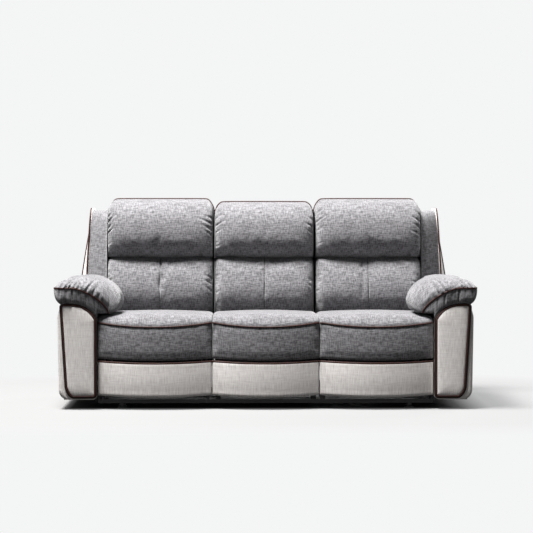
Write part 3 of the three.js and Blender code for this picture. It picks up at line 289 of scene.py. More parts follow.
def tube(path, radius, outward, sides=10, closed=False):
    """A cord's grid: at each point of the path a ring round the tangent, turned from the outward direction.

    The ends of an open cord close in four rings of a half ball.
    """
    path = np.asarray(path, float)
    if closed:
        tangent = np.roll(path, -1, axis=0) - np.roll(path, 1, axis=0)
    else:
        tangent = np.gradient(path, axis=0)
    tangent /= np.maximum(np.linalg.norm(tangent, axis=1, keepdims=True), TINY)
    outward = np.broadcast_to(np.asarray(outward, float), path.shape)
    side = np.cross(tangent, outward)
    side /= np.maximum(np.linalg.norm(side, axis=1, keepdims=True), TINY)
    up = np.cross(side, tangent)
    sizes = np.full(len(path), radius)
    if closed:
        path = np.concatenate([path, path[:1]])
        side = np.concatenate([side, side[:1]])
        up = np.concatenate([up, up[:1]])
        sizes = np.concatenate([sizes, sizes[:1]])
    else:
        turn = np.linspace(0, math.pi / 2, 4)
        reach = radius * np.sin(turn[::-1])
        small = np.maximum(radius * np.cos(turn[::-1]), radius * 0.02)
        path = np.concatenate([path[0] - reach[:-1, None] * tangent[0], path,
                               path[-1] + reach[:-1][::-1, None] * tangent[-1]])
        side = np.concatenate([np.repeat(side[:1], 3, axis=0), side, np.repeat(side[-1:], 3, axis=0)])
        up = np.concatenate([np.repeat(up[:1], 3, axis=0), up, np.repeat(up[-1:], 3, axis=0)])
        sizes = np.concatenate([small[:-1], sizes, small[:-1][::-1]])
    angle = np.linspace(0, 2 * math.pi, sides, endpoint=False)
    ring = np.cos(angle)[None, :, None] * side[:, None] + np.sin(angle)[None, :, None] * up[:, None]
    return path[:, None] + sizes[:, None, None] * ring


def cord(name, path, radius, outward, body, closed=False, material=None):
    """A piping cord as a tube along its path."""
    points = tube(path, radius, outward, closed=closed)
    return piece(name, points, material or brown_piping, body)


# Materials

class Graph:
    """A node tree that is filled one node at a time."""

    def __init__(self, tree):
        self.tree = tree

    def add(self, kind, inputs=None, **settings):
        node = self.tree.nodes.new(kind)
        for key, value in settings.items():
            setattr(node, key, value)
        for key, value in (inputs or {}).items():
            if isinstance(value, bpy.types.NodeSocket):
                self.tree.links.new(value, node.inputs[key])
            else:
                node.inputs[key].default_value = value
        return node

    def math(self, operation, first, second=0.0, third=0.0):
        inputs = {0: first, 1: second, 2: third}
        return self.add("ShaderNodeMath", inputs, operation=operation).outputs[0]

    def vector(self, x, y, z=0.0):
        return self.add("ShaderNodeCombineXYZ", {"X": x, "Y": y, "Z": z}).outputs[0]

    def noise(self, place, scale, detail=2.0, roughness=0.5):
        inputs = {"Vector": place, "Scale": scale, "Detail": detail, "Roughness": roughness}
        return self.add("ShaderNodeTexNoise", inputs).outputs["Fac"]

    def between(self, value, low, high, to_low=0.0, to_high=1.0):
        inputs = {"Value": value, "From Min": low, "From Max": high, "To Min": to_low, "To Max": to_high}
        return self.add("ShaderNodeMapRange", inputs, clamp=True).outputs[0]

    def mix(self, share, first, second, blend="MIX"):
        node = self.add("ShaderNodeMix", data_type="RGBA", blend_type=blend)
        for socket, value in ((node.inputs[0], share), (node.inputs[6], first), (node.inputs[7], second)):
            if isinstance(value, bpy.types.NodeSocket):
                self.tree.links.new(value, socket)
            else:
                socket.default_value = value
        return node.outputs[2]


def group(name, inputs, outputs):
    """A new shader node group with named sockets, as a graph with its input and output nodes."""
    tree = bpy.data.node_groups.new(name, "ShaderNodeTree")
    for label, kind, value in inputs:
        socket = tree.interface.new_socket(label, in_out="INPUT", socket_type=kind)
        if value is not None:
            socket.default_value = value
    for label, kind in outputs:
        tree.interface.new_socket(label, in_out="OUTPUT", socket_type=kind)
    graph = Graph(tree)
    return graph, graph.add("NodeGroupInput").outputs, graph.add("NodeGroupOutput").inputs


FLOAT = "NodeSocketFloat"
COLOUR = "NodeSocketColor"
VECTOR = "NodeSocketVector"


def weave_group():
    """Melange cloth: long slubs along the warp and across it, one over the other in a plain weave.

    Warp and weft are two stretched noises. Which of them is on top is the product of two sines one thread wide.
    The shade runs between a dark and a light yarn, the height follows the threads' round tops and the slubs.
    """
    graph, given, out = group("melange weave", [
        ("Vector", VECTOR, None), ("Dark Yarn", COLOUR, (0, 0, 0, 1)), ("Light Yarn", COLOUR, (1, 1, 1, 1)),
        ("Thread Width", FLOAT, 0.0016), ("Slub Width", FLOAT, 0.004), ("Slub Length", FLOAT, 0.02),
        ("Warp Share", FLOAT, 0.5), ("Contrast", FLOAT, 0.5)],
        [("Color", COLOUR), ("Height", FLOAT), ("Shade", FLOAT)])
    axes = graph.add("ShaderNodeSeparateXYZ", {0: given["Vector"]}).outputs
    across = graph.math("DIVIDE", 1.0, given["Slub Width"])
    along = graph.math("DIVIDE", 1.0, given["Slub Length"])
    warp_place = graph.vector(graph.math("MULTIPLY", axes[0], across), graph.math("MULTIPLY", axes[1], along))
    weft_place = graph.vector(graph.math("MULTIPLY", axes[0], along), graph.math("MULTIPLY", axes[1], across), 7.3)
    warp = graph.noise(warp_place, 1.0, 1.4, 0.5)
    weft = graph.noise(weft_place, 1.0, 1.4, 0.5)
    turn = graph.math("DIVIDE", math.pi, given["Thread Width"])
    warp_wave = graph.math("SINE", graph.math("MULTIPLY", axes[0], turn))
    weft_wave = graph.math("SINE", graph.math("MULTIPLY", axes[1], turn))
    crossing = graph.math("MULTIPLY", warp_wave, weft_wave)
    over = graph.between(crossing, -0.25, 0.25)
    bias = graph.math("SUBTRACT", graph.math("ADD", over, given["Warp Share"]), 0.5)
    top = graph.add("ShaderNodeClamp", {"Value": bias}).outputs[0]
    yarn = graph.add("ShaderNodeMix", {0: top, 2: weft, 3: warp}, data_type="FLOAT").outputs[0]
    half = graph.math("MULTIPLY", given["Contrast"], 0.2)
    shade = graph.add("ShaderNodeMapRange", {
        "Value": yarn, "From Min": graph.math("SUBTRACT", 0.5, graph.math("DIVIDE", 0.16, given["Contrast"])),
        "From Max": graph.math("ADD", 0.5, graph.math("DIVIDE", 0.16, given["Contrast"]))}, clamp=True).outputs[0]
    cloud = graph.noise(given["Vector"], 14.0, 2.0, 0.5)
    cloudy = graph.math("ADD", shade, graph.math("MULTIPLY", graph.math("SUBTRACT", cloud, 0.5), half))
    colour = graph.mix(graph.add("ShaderNodeClamp", {"Value": cloudy}).outputs[0], given["Dark Yarn"],
                       given["Light Yarn"])
    relief = graph.math("MULTIPLY", graph.math("ABSOLUTE", crossing), 0.45)
    height = graph.math("ADD", relief, graph.math("MULTIPLY", yarn, 0.55))
    graph.tree.links.new(colour, out["Color"])
    graph.tree.links.new(height, out["Height"])
    graph.tree.links.new(shade, out["Shade"])
    return graph.tree


def grain_group():
    """Fine pebbled grain: two noises of different scale, for cords, plastics and paint."""
    graph, given, out = group("fine grain", [
        ("Vector", VECTOR, None), ("Scale", FLOAT, 400.0), ("Dark", COLOUR, (0, 0, 0, 1)),
        ("Light", COLOUR, (1, 1, 1, 1)), ("Rough Low", FLOAT, 0.4), ("Rough High", FLOAT, 0.6)],
        [("Color", COLOUR), ("Height", FLOAT), ("Roughness", FLOAT)])
    fine = graph.noise(given["Vector"], given["Scale"], 3.0, 0.6)
    wide = graph.noise(given["Vector"], graph.math("MULTIPLY", given["Scale"], 0.08), 3.0, 0.55)
    both = graph.math("ADD", graph.math("MULTIPLY", fine, 0.5), graph.math("MULTIPLY", wide, 0.5))
    share = graph.between(both, 0.35, 0.65)
    graph.tree.links.new(graph.mix(share, given["Dark"], given["Light"]), out["Color"])
    graph.tree.links.new(fine, out["Height"])
    rough = graph.add("ShaderNodeMix", {0: graph.between(wide, 0.3, 0.7), 2: given["Rough Low"], 3: given["Rough High"]},
                      data_type="FLOAT").outputs[0]
    graph.tree.links.new(rough, out["Roughness"])
    return graph.tree


WEAVE = weave_group()
GRAIN = grain_group()


def new_material(name):
    """An empty node material: its graph and its shader."""
    material = bpy.data.materials.new(name)
    material.use_nodes = True
    graph = Graph(material.node_tree)
    shader = next(node for node in material.node_tree.nodes if node.type == "BSDF_PRINCIPLED")
    return material, graph, shader


def add_bump(graph, shader, height, distance, strength=1.0):
    """Feeds a height to the shader's normal."""
    bump = graph.add("ShaderNodeBump", {"Height": height, "Distance": distance, "Strength": strength})
    graph.tree.links.new(bump.outputs[0], shader.inputs["Normal"])


def cloth(name, dark, light, thread, slub_width, slub_length, contrast, warp_share, bump, sheen, rough, from_map=True):
    """A woven cloth from the melange weave, on the piece's own map or in its own space."""
    material, graph, shader = new_material(name)
    place = graph.add("ShaderNodeTexCoord").outputs["UV" if from_map else "Object"]
    node = graph.add("ShaderNodeGroup", node_tree=WEAVE)
    for key, value in (("Vector", place), ("Dark Yarn", dark), ("Light Yarn", light), ("Thread Width", thread),
                       ("Slub Width", slub_width), ("Slub Length", slub_length), ("Warp Share", warp_share),
                       ("Contrast", contrast)):
        if isinstance(value, bpy.types.NodeSocket):
            graph.tree.links.new(value, node.inputs[key])
        else:
            node.inputs[key].default_value = value
    graph.tree.links.new(node.outputs["Color"], shader.inputs["Base Color"])
    shader.inputs["Roughness"].default_value = rough
    shader.inputs["Specular IOR Level"].default_value = 0.15
    shader.inputs["Sheen Weight"].default_value = sheen
    shader.inputs["Sheen Roughness"].default_value = 0.45
    add_bump(graph, shader, node.outputs["Height"], bump)
    return material


def grained(name, dark, light, scale, rough, bump, metallic=0.0, specular=0.5):
    """A plastic, paint or leather with a fine grain in the piece's own space."""
    material, graph, shader = new_material(name)
    node = graph.add("ShaderNodeGroup", node_tree=GRAIN)
    place = graph.add("ShaderNodeTexCoord").outputs["Object"]
    graph.tree.links.new(place, node.inputs["Vector"])
    node.inputs["Scale"].default_value = scale
    node.inputs["Dark"].default_value = dark
    node.inputs["Light"].default_value = light
    node.inputs["Rough Low"].default_value = rough[0]
    node.inputs["Rough High"].default_value = rough[1]
    graph.tree.links.new(node.outputs["Color"], shader.inputs["Base Color"])
    graph.tree.links.new(node.outputs["Roughness"], shader.inputs["Roughness"])
    shader.inputs["Metallic"].default_value = metallic
    shader.inputs["Specular IOR Level"].default_value = specular
    add_bump(graph, shader, node.outputs["Height"], bump)
    return material


def plywood_material():
    """Birch plywood: thin layers with the height, and a stretched grain along the board."""
    material, graph, shader = new_material("plywood")
    axes = graph.add("ShaderNodeSeparateXYZ", {0: graph.add("ShaderNodeTexCoord").outputs["Object"]}).outputs
    long_grain = graph.vector(graph.math("MULTIPLY", axes[0], 6.0), graph.math("MULTIPLY", axes[1], 90.0),
                              graph.math("MULTIPLY", axes[2], 90.0))
    grain = graph.noise(long_grain, 1.0, 4.0, 0.6)
    layers = graph.math("SINE", graph.math("MULTIPLY", axes[2], 1400.0))
    shade = graph.math("ADD", graph.math("MULTIPLY", grain, 0.8), graph.math("MULTIPLY", layers, 0.06))
    colour = graph.mix(graph.between(shade, 0.2, 0.65), (0.3, 0.16, 0.06, 1), (0.62, 0.42, 0.22, 1))
    graph.tree.links.new(colour, shader.inputs["Base Color"])
    shader.inputs["Roughness"].default_value = 0.6
    add_bump(graph, shader, grain, 0.0004)
    return material


GREY_DARK = (0.09, 0.088, 0.093, 1)
GREY_LIGHT = (0.272, 0.268, 0.281, 1)
IVORY_DARK = (0.62, 0.58, 0.56, 1)
IVORY_LIGHT = (0.92, 0.89, 0.865, 1)
grey_fabric = cloth("grey_fabric", GREY_DARK, GREY_LIGHT, 0.0018, 0.0048, 0.028, 1.5, 0.5, 0.0012, 0.35, 0.95)
ivory_fabric = cloth("ivory_fabric", IVORY_DARK, IVORY_LIGHT, 0.0014, 0.004, 0.05, 0.8, 0.75, 0.0006, 0.2, 0.9)
lining_fabric = cloth("lining_fabric", (0.11, 0.11, 0.115, 1), (0.25, 0.248, 0.258, 1), 0.0016, 0.0048, 0.028, 1.2,
                      0.5, 0.0008, 0.1, 0.95)
brown_piping = grained("brown_piping", (0.02, 0.006, 0.0045, 1), (0.046, 0.0145, 0.01, 1), 900.0, (0.5, 0.7), 0.0004,
                       specular=0.25)
# Near-black plywood for the frames that show in the gaps and under the covers: painted shade where they sit in shadow.
painted_shadow_plywood = grained("painted_shadow_plywood", (0.006, 0.006, 0.006, 1), (0.014, 0.013, 0.013, 1), 150.0, (0.6, 0.8),
                          0.0004)
# A near-black welt round the arm panels: partly a real welt, partly painted shadow along the panel's edge.
welt_and_painted_shadow = grained("welt_and_painted_shadow", (0.006, 0.003, 0.0025, 1), (0.015, 0.007, 0.006, 1), 900.0, (0.5, 0.7), 0.0004,
                    specular=0.2)
black_steel = grained("black_steel", (0.008, 0.008, 0.009, 1), (0.02, 0.02, 0.021, 1), 700.0, (0.3, 0.5), 0.0002)
zinc_steel = grained("zinc_steel", (0.3, 0.31, 0.33, 1), (0.48, 0.49, 0.51, 1), 120.0, (0.25, 0.5), 0.0001, 1.0)
black_plastic = grained("black_plastic", (0.008, 0.008, 0.009, 1), (0.018, 0.018, 0.019, 1), 1200.0, (0.4, 0.55),
                        0.0003)
plywood = plywood_material()
FINISHES = {"black_steel": black_steel, "zinc_steel": zinc_steel, "plywood": plywood, "black_plastic": black_plastic,
            "grey_fabric": grey_fabric, "ivory_fabric": ivory_fabric, "brown_piping": brown_piping,
            "lining_fabric": lining_fabric}


# Cloth that swells between its seams

def swell(points, pinned, pressure=3.0, growth=0.05, cap=0.02, frames=20):
    """How far each point of a cloth grid moves when it is filled: cloth cut larger by the growth, pinned where the
    weights are one, under an even pressure, its moves held to the cap."""
    rows, columns = points.shape[:2]
    row, column = np.meshgrid(np.arange(rows - 1), np.arange(columns), indexing="ij")
    after = (column + 1) % columns
    quads = np.stack([row * columns + column, (row + 1) * columns + column,
                      (row + 1) * columns + after, row * columns + after], axis=2).reshape(-1, 4)
    if grid_volume(points) < 0:
        quads = quads[:, ::-1]
    mesh = bpy.data.meshes.new("swelling")
    mesh.from_pydata(points.reshape(-1, 3).tolist(), [], quads.tolist())
    cover = bpy.data.objects.new("swelling", mesh)
    bpy.context.scene.collection.objects.link(cover)
    pins = cover.vertex_groups.new(name="pins")
    flat = pinned.ravel()
    for weight in np.unique(flat[flat > 0]):
        pins.add(np.flatnonzero(flat == weight).tolist(), float(weight), "REPLACE")
    cloth_settings = cover.modifiers.new("cloth", "CLOTH").settings
    cloth_settings.quality = 6
    cloth_settings.mass = 0.25
    cloth_settings.tension_stiffness = 12
    cloth_settings.compression_stiffness = 12
    cloth_settings.shear_stiffness = 5
    cloth_settings.bending_stiffness = 0.6
    cloth_settings.vertex_group_mass = "pins"
    cloth_settings.pin_stiffness = 1
    cloth_settings.shrink_min = -growth
    cloth_settings.use_pressure = True
    cloth_settings.uniform_pressure_force = pressure
    cloth_settings.effector_weights.gravity = 0
    scene = bpy.context.scene
    for step in range(1, frames + 1):
        scene.frame_set(step)
    moved = cover.evaluated_get(bpy.context.evaluated_depsgraph_get())
    place = np.empty(len(mesh.vertices) * 3, np.float32)
    moved.data.vertices.foreach_get("co", place)
    bpy.data.objects.remove(cover)
    scene.frame_set(1)
    move = place.reshape(points.shape).astype(float) - points
    far = np.linalg.norm(move, axis=2, keepdims=True)
    return move * np.minimum(1, cap / np.maximum(far, TINY))


# Cushions

def bowed(share):
    """1 in the middle of a seat, 0 at its sides, along a parabola."""
    return 1 - share**2


def board_front(z):
    """Depth of the leaning back board's front at a height."""
    return BOARD_FRONT_LOW + BACK_SLOPE * (z - BACK_LOW)


def row_places(half, fine, end_steps=26, end_width=0.09):
    """Places across a cushion from end to end: close together near the ends, then evenly spaced."""
    near = end_width * np.linspace(0, 1, end_steps + 1)[:-1] ** 1.35
    inner = half - end_width
    steps = 2 * max(4, int(round(inner / fine)))
    middle = np.linspace(-inner, inner, steps + 1)
    return np.concatenate([near - half, middle, half - near[::-1]])


def end_draw(x, half, width, depth, power=2.0):
    """How far a cushion's section is drawn in near its ends: the depth times a quarter superellipse over the
    width."""
    gap = np.clip((half - np.abs(x)) / width, 0, 1)
    return depth * (1 - np.maximum(0, 1 - (1 - gap) ** power) ** (1 / power))


def drawn_in(value, core, furthest, inset):
    """Draws what lies beyond a core line back towards it, so that the furthest place moves by the inset."""
    return core + (value - core) * (1 - inset / np.abs(furthest - core))


def fold_profile(offset):
    """Across a fold: a narrow valley, a bell of depth one, between two wider ridges less than half as high."""
    ridge = np.exp(-0.5 * ((np.abs(offset) - 2.6) / 1.3) ** 2)
    return 0.4 * ridge - np.exp(-0.5 * offset**2)


def folds(distance, height, marks, width=0.0042):
    """Short folds that run in from a side seam. A mark is the height where a fold starts, how far it runs in, how
    much it rises on the way for each unit, and its depth. It starts shallow, deepens and dies out."""
    total = np.zeros_like(distance)
    for start, length, slope, depth in marks:
        offset = (height - start - slope * distance) / width
        share = distance / length
        fade = np.clip(1 - share, 0, 1) ** 0.8 * (0.4 + 0.6 * smoothstep(share, 0, 0.25))
        total += depth * fade * fold_profile(offset)
    return total


SEAT_ROLL = ((1, 1), (0.61, 0.972), (0.35, 0.89), (0.16, 0.71), (0.06, 0.46), (0.015, 0.2))
SEAT_BAND = ((0.93, 0.45), (0.8, 0.1), (0.55, -0.3), (0.3, -0.5), (0.1, -0.5), (0.03, 0.2))
SEAT_REAR_ROUND = 0.06
SEAT_LIP = 0.02
SEAT_FALL = 0.008
SEAT_END_WIDTH = 0.018
SEAT_END_DEPTH = 0.008


def seat_controls(x, half):
    """Control points of the seat cushion's sections: round the rear, over the crowned top, down the front roll to
    the seam, down the band to its rounded lower edge, and back under to the deck."""
    share = x / half
    bow = bowed(share)
    front = SEAT_FRONT_SIDE - SEAT_BOW * bow
    seam = SEAT_SEAM_HEIGHT - SEAT_SEAM_DIP * bow
    top = SEAT_SIDE_HEIGHT + SEAT_CROWN * bow
    low = PANEL_TOP - PANEL_DIP * bow + PANEL_SEAT_GAP
    inset = end_draw(x, half, SEAT_END_WIDTH, SEAT_END_DEPTH)
    one = np.ones_like(x)
    corner = SEAT_REAR_ROUND
    rear_top = top - SEAT_FALL
    points = [
        (SEAT_REAR * one, DECK_HEIGHT * one),
        (SEAT_REAR * one, rear_top - corner * 0.6),
        (SEAT_REAR - corner * 0.22, rear_top - corner * 0.16),
        (SEAT_REAR - corner, rear_top),
        (SEAT_REAR - corner * 2.6, rear_top + SEAT_FALL * 0.3),
    ]
    points += [(front + depth * SEAT_ROLL_DEPTH, seam + rise * (top - seam)) for depth, rise in SEAT_ROLL]
    points += [(front + SEAT_SEAM_DEPTH, seam)]
    points += [(front + depth * SEAT_SEAM_DEPTH, low + rise * (seam - low)) for rise, depth in SEAT_BAND]
    points += [(front + SEAT_LIP, low), (APRON_REAR * one, low), (APRON_REAR * one, DECK_HEIGHT * one)]
    controls = np.stack([np.stack([y * one, z * one], axis=1) for y, z in points], axis=1)
    y = controls[..., 0]
    z = controls[..., 1]
    y = np.where(y < APRON_REAR, drawn_in(y, APRON_REAR, front[:, None], inset[:, None]), y)
    z = np.where(z > DECK_HEIGHT, drawn_in(z, DECK_HEIGHT, top[:, None], inset[:, None]), z)
    return np.stack([y, z], axis=2)


SEAT_SEAM_CONTROL = 11


def seat_runs(fineness):
    """The runs of a seat section: rear and top and roll as one, the band, the underside and the deck."""
    size = len(SEAT_ROLL) + len(SEAT_BAND) + 9
    return [(0, 1, int(6 * fineness)), (1, SEAT_SEAM_CONTROL, int(76 * fineness)),
            (SEAT_SEAM_CONTROL, size - 3, int(32 * fineness)), (size - 3, size - 2, int(5 * fineness)),
            (size - 2, size - 1, int(8 * fineness)), (size - 1, size, int(20 * fineness))]


def lofted(x, centre, controls, weights):
    """The grid of a cushion across the sofa: each row is its section's smooth curve at its place."""
    section = np.einsum("ck,rkd->rcd", weights, controls)
    across = np.broadcast_to((x + centre)[:, None], section.shape[:2])
    return np.concatenate([across[..., None], section], axis=2)


def upsampled(move, coarse_x, fine_x, coarse_columns, fine_columns):
    """A coarse grid of moves read at finer places: linear across the sofa, linear round the section."""
    row = np.interp(fine_x, coarse_x, np.arange(len(coarse_x)))
    low = np.clip(row.astype(int), 0, len(coarse_x) - 2)
    part = (row - low)[:, None, None]
    rows = move[low] * (1 - part) + move[low + 1] * part
    column = np.interp(fine_columns, np.append(coarse_columns, 1), np.arange(len(coarse_columns) + 1))
    start = np.clip(column.astype(int), 0, len(coarse_columns) - 1)
    part = (column - start)[None, :, None]
    after = (start + 1) % len(coarse_columns)
    return rows[:, start] * (1 - part) + rows[:, after] * part


def softened(move, rounds=1):
    """A grid of moves averaged with its neighbours on four sides, the columns wrapping round."""
    for _ in range(rounds):
        padded = np.concatenate([move[:1], move, move[-1:]])
        around = np.roll(move, 1, axis=1) + np.roll(move, -1, axis=1)
        move = 0.5 * move + 0.125 * (padded[:-2] + padded[2:] + around)
    return move


def filled(x, half, centre, make_controls, make_runs, hold, pressure, growth, cap, fineness=1.0, coarse=0.009):
    """A cushion's fine grid moved by the swelling of a coarser grid of the same form.

    hold gives the pin weights of the coarse grid from its places and columns. The moves are kept within the
    cushion's width.
    """
    reference = make_controls(np.array([0.3 * half]), half)[0]
    weights, starts = runs_matrix(reference, make_runs(fineness))
    fine = lofted(x, centre, make_controls(x, half), weights)
    rough_x = row_places(half, coarse, 9)
    rough_weights, rough_starts = runs_matrix(reference, make_runs(0.45))
    rough = lofted(rough_x, centre, make_controls(rough_x, half), rough_weights)
    move = swell(rough, hold(rough_x, rough, rough_starts), pressure, growth, cap)
    rough_share = column_shares(rough_starts, rough.shape[1])
    fine_share = column_shares(starts, fine.shape[1])
    fine = fine + softened(upsampled(softened(move), rough_x, x, rough_share, fine_share))
    fine[..., 0] = np.clip(fine[..., 0], centre - half, centre + half)
    return fine, starts


def column_shares(starts, columns):
    """Each column's place round the section, evenly spaced within every run, each run an equal share."""
    edges = np.append(starts, columns)
    return np.interp(np.arange(columns), edges, np.linspace(0, 1, len(edges)))


def end_weights(x, half, reach=0.004):
    """One at a cushion's two ends and zero elsewhere."""
    return (half - np.abs(x) < reach).astype(float)


def seat_hold(x, points, starts):
    """Pins a seat cushion at its ends, along its front seam and its lower front edge, and wherever it rests or is
    hidden."""
    held = np.zeros(points.shape[:2])
    held[end_weights(x, np.abs(x).max()) > 0] = 1
    held[:, :starts[1] + 1] = 1
    held[:, starts[2]] = 1
    held[:, starts[3] - 3:] = 1
    return held


def seat_seam(x, half):
    """The seat seam's line: the front's bow and the seam's dip, drawn in near the ends like the cushion. It lies
    half way out of the seam's groove."""
    bow = bowed(x / half)
    front = SEAT_FRONT_SIDE - SEAT_BOW * bow
    inset = end_draw(x, half, SEAT_END_WIDTH, SEAT_END_DEPTH)
    y = drawn_in(front + SEAT_SEAM_DEPTH / 2, APRON_REAR, front, inset)
    top = SEAT_SIDE_HEIGHT + SEAT_CROWN * bow
    z = drawn_in(SEAT_SEAM_HEIGHT - SEAT_SEAM_DIP * bow, DECK_HEIGHT, top, inset)
    return np.stack([x, y, z], axis=1)


def seat(prefix, centre, half, body):
    """A seat cushion and the thin piping along its front roll."""
    x = row_places(half, 0.005)
    points, starts = filled(x, half, centre, seat_controls, seat_runs, seat_hold, pressure=2.0, growth=0.02, cap=0.004)
    made = piece(f"{prefix}_seat", points, grey_fabric, body)
    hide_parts(f"{prefix}_seat_cushion")
    places = np.linspace(-half + THIN_CORD, half - THIN_CORD, 90)
    path = seat_seam(places, half) + np.array([centre, -THIN_CORD / 2, 0])
    trim = cord(f"{prefix}_seat_cord", path, THIN_CORD, (0, -1, 0), body)
    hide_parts(f"{prefix}_seat_piping")


LUMBAR_FACE = ((1.25, 0), (0.98, 0.08), (0.68, 0.18), (0.41, 0.28), (0.2, 0.38), (0.06, 0.46), (0.02, 0.53),
               (0.07, 0.61), (0.2, 0.7), (0.38, 0.81), (0.57, 0.9), (0.84, 0.965), (1.4, 1))
LUMBAR_END_WIDTH = 0.1
LUMBAR_END_DEPTH = 0.056
LUMBAR_TOP_FALL = 0.016
LUMBAR_LEVEL = 0.66


def back_drawn(y, z, deepest, level, top, inset, fall):
    """Draws a back cushion's section towards the board by the inset, and what lies above a level down towards it
    by the fall."""
    high = np.where(z > level, drawn_in(z, level, top, fall), z)
    depth = board_front(z) - y
    return np.stack([board_front(high) - depth * (1 - inset / deepest), high], axis=2)


def lumbar_controls(x, half):
    """Control points of the lumbar cushion's sections: from the board forward, up the bulging face, back over the
    top. The sides are drawn in towards the board."""
    points = [(board_front(LUMBAR_LOW), LUMBAR_LOW)]
    points += [(LUMBAR_BULGE_Y + depth * (CREASE_Y - LUMBAR_BULGE_Y), LUMBAR_LOW + rise * (LUMBAR_TOP - LUMBAR_LOW))
               for depth, rise in LUMBAR_FACE]
    points += [(board_front(LUMBAR_TOP), LUMBAR_TOP)]
    one = np.ones((len(x), len(points)))
    y = one * np.array([p[0] for p in points])
    z = one * np.array([p[1] for p in points])
    deepest = board_front((LUMBAR_LOW + LUMBAR_TOP) / 2) - LUMBAR_BULGE_Y
    inset = end_draw(x, half, LUMBAR_END_WIDTH, LUMBAR_END_DEPTH)[:, None]
    fall = end_draw(x, half, LUMBAR_END_WIDTH, LUMBAR_TOP_FALL)[:, None] * smoothstep(board_front(z) - y, 0, 0.1)
    return back_drawn(y, z, deepest, LUMBAR_LEVEL, LUMBAR_TOP, inset, fall)


def lumbar_runs(fineness):
    """The runs of a lumbar section: underside, face and top as one, and the back against the board."""
    last = len(LUMBAR_FACE) + 1
    return [(0, 1, int(16 * fineness)), (1, last, int(110 * fineness)), (last, last + 1, int(24 * fineness))]


def lumbar_hold(x, points, starts):
    """Pins a lumbar cushion at its ends, its back and its underside."""
    held = np.zeros(points.shape[:2])
    held[end_weights(x, np.abs(x).max()) > 0] = 1
    held[:, :starts[1] + 1] = 1
    held[:, starts[2]:] = 1
    return held


def seam_valley(x, depth, width):
    """A valley along a cushion's middle, its depth falling off as a bell with the distance from it."""
    return -depth * np.exp(-(x / width) ** 2)


def lumbar(prefix, centre, half, body, marks):
    """A lumbar cushion with a vertical seam in its middle."""
    near_seam = np.array([0.001, 0.002, 0.0035, 0.0055])
    x = np.sort(np.concatenate([row_places(half, 0.007), -near_seam, near_seam]))
    points, starts = filled(x, half, centre, lumbar_controls, lumbar_runs, lumbar_hold, pressure=3.0, growth=0.04,
                            cap=0.012, fineness=1.8)
    normal = outward_normals(points)
    height = points[..., 2]
    face = smoothstep(-normal[..., 1], 0.0, 0.3)
    carve = (seam_valley(x, 0.008, 0.0026) + seam_valley(x, 0.004, 0.03))[:, None] * face
    for side, rows in marks.items():
        inward = half - side * x
        carve = carve + folds(inward[:, None] * np.ones_like(height), height, rows) * face
    points = points + normal * carve[..., None]
    points = eased(points, centre, half)
    made = piece(f"{prefix}_lumbar", points, grey_fabric, body)
    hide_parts(f"{prefix}_lumbar_cushion")


FLANK_EASE = 0.005
FLANK_SPREAD = 0.001
FLANK_WIDTH = 0.06


def eased(points, centre, half):
    """Pulls a back cushion's flanks in where it stands out from the board, so that neighbours part at the front,
    and spreads them a little at the board."""
    out = board_front(points[..., 2]) - points[..., 1]
    share = smoothstep(out, 0.07, 0.15)
    across = points[..., 0] - centre
    flank = smoothstep(np.abs(across), half - FLANK_WIDTH, half)
    moved = points.copy()
    moved[..., 0] -= np.sign(across) * flank * (FLANK_EASE * share - FLANK_SPREAD * (1 - share))
    return moved


def outward_normals(points):
    """The grid's normals, turned outwards by the sign of its volume."""
    normal = normals(points)
    outside = np.sum(normal * (points - points.mean(axis=1, keepdims=True)))
    return normal if outside > 0 else -normal


HEADREST_FACE = ((1.4, 0), (0.9, 0.03), (0.5, 0.08), (0.2, 0.16), (0.04, 0.28), (0.03, 0.46), (0.3, 0.66),
                 (0.8, 0.815), (1.6, 0.93), (2.6, 0.985), (3.7, 1), (5.3, 1))
HEADREST_ROUND = 0.036
HEADREST_END_WIDTH = 0.13
HEADREST_END_DEPTH = 0.066
HEADREST_CORNER = 0.05
HEADREST_LEVEL = 0.93


def headrest_controls(top):
    """Returns the control points' function for a headrest of a given top: from the board forward, up the bulging
    face, over the top and down the rear to where it hooks over the board."""
    def controls(x, half):
        rise_range = top - HEADREST_LOW
        points = [(board_front(HEADREST_LOW), HEADREST_LOW)]
        points += [(HEADREST_BULGE_Y + depth * (CREASE_Y - HEADREST_BULGE_Y), HEADREST_LOW + rise * rise_range)
                   for depth, rise in HEADREST_FACE]
        points += [(HEADREST_REAR - HEADREST_ROUND, top - HEADREST_ROUND / 8),
                   (HEADREST_REAR - HEADREST_ROUND / 4, top - HEADREST_ROUND / 2),
                   (HEADREST_REAR, top - HEADREST_ROUND), (HEADREST_REAR, BACK_TOP + 0.0003),
                   (board_front(BACK_TOP), BACK_TOP + 0.0003)]
        one = np.ones((len(x), len(points)))
        y = one * np.array([p[0] for p in points])
        z = one * np.array([p[1] for p in points])
        inset = end_draw(x, half, HEADREST_END_WIDTH, HEADREST_END_DEPTH)[:, None]
        fall = end_draw(x, half, HEADREST_CORNER, HEADREST_CORNER, 2.1)[:, None]
        deepest = board_front(BACK_TOP) - HEADREST_BULGE_Y
        return back_drawn(y, z, deepest, HEADREST_LEVEL, top, inset, fall)
    return controls


def headrest_runs(fineness):
    """The runs of a headrest section: underside, face with top and rear as one, the hook and the board's front."""
    hook = len(HEADREST_FACE) + 4
    return [(0, 1, int(14 * fineness)), (1, hook, int(150 * fineness)), (hook, hook + 1, int(12 * fineness)),
            (hook + 1, hook + 2, int(20 * fineness))]


def headrest_hold(x, points, starts):
    """Pins a headrest at its ends, along its underside, its hook and where it meets the board."""
    held = np.zeros(points.shape[:2])
    held[end_weights(x, np.abs(x).max()) > 0] = 1
    held[:, :starts[1] + 1] = 1
    held[:, starts[2]:] = 1
    return held


HEADREST_CORD_Y = 0.345
HEADREST_SETTLE = 0.009


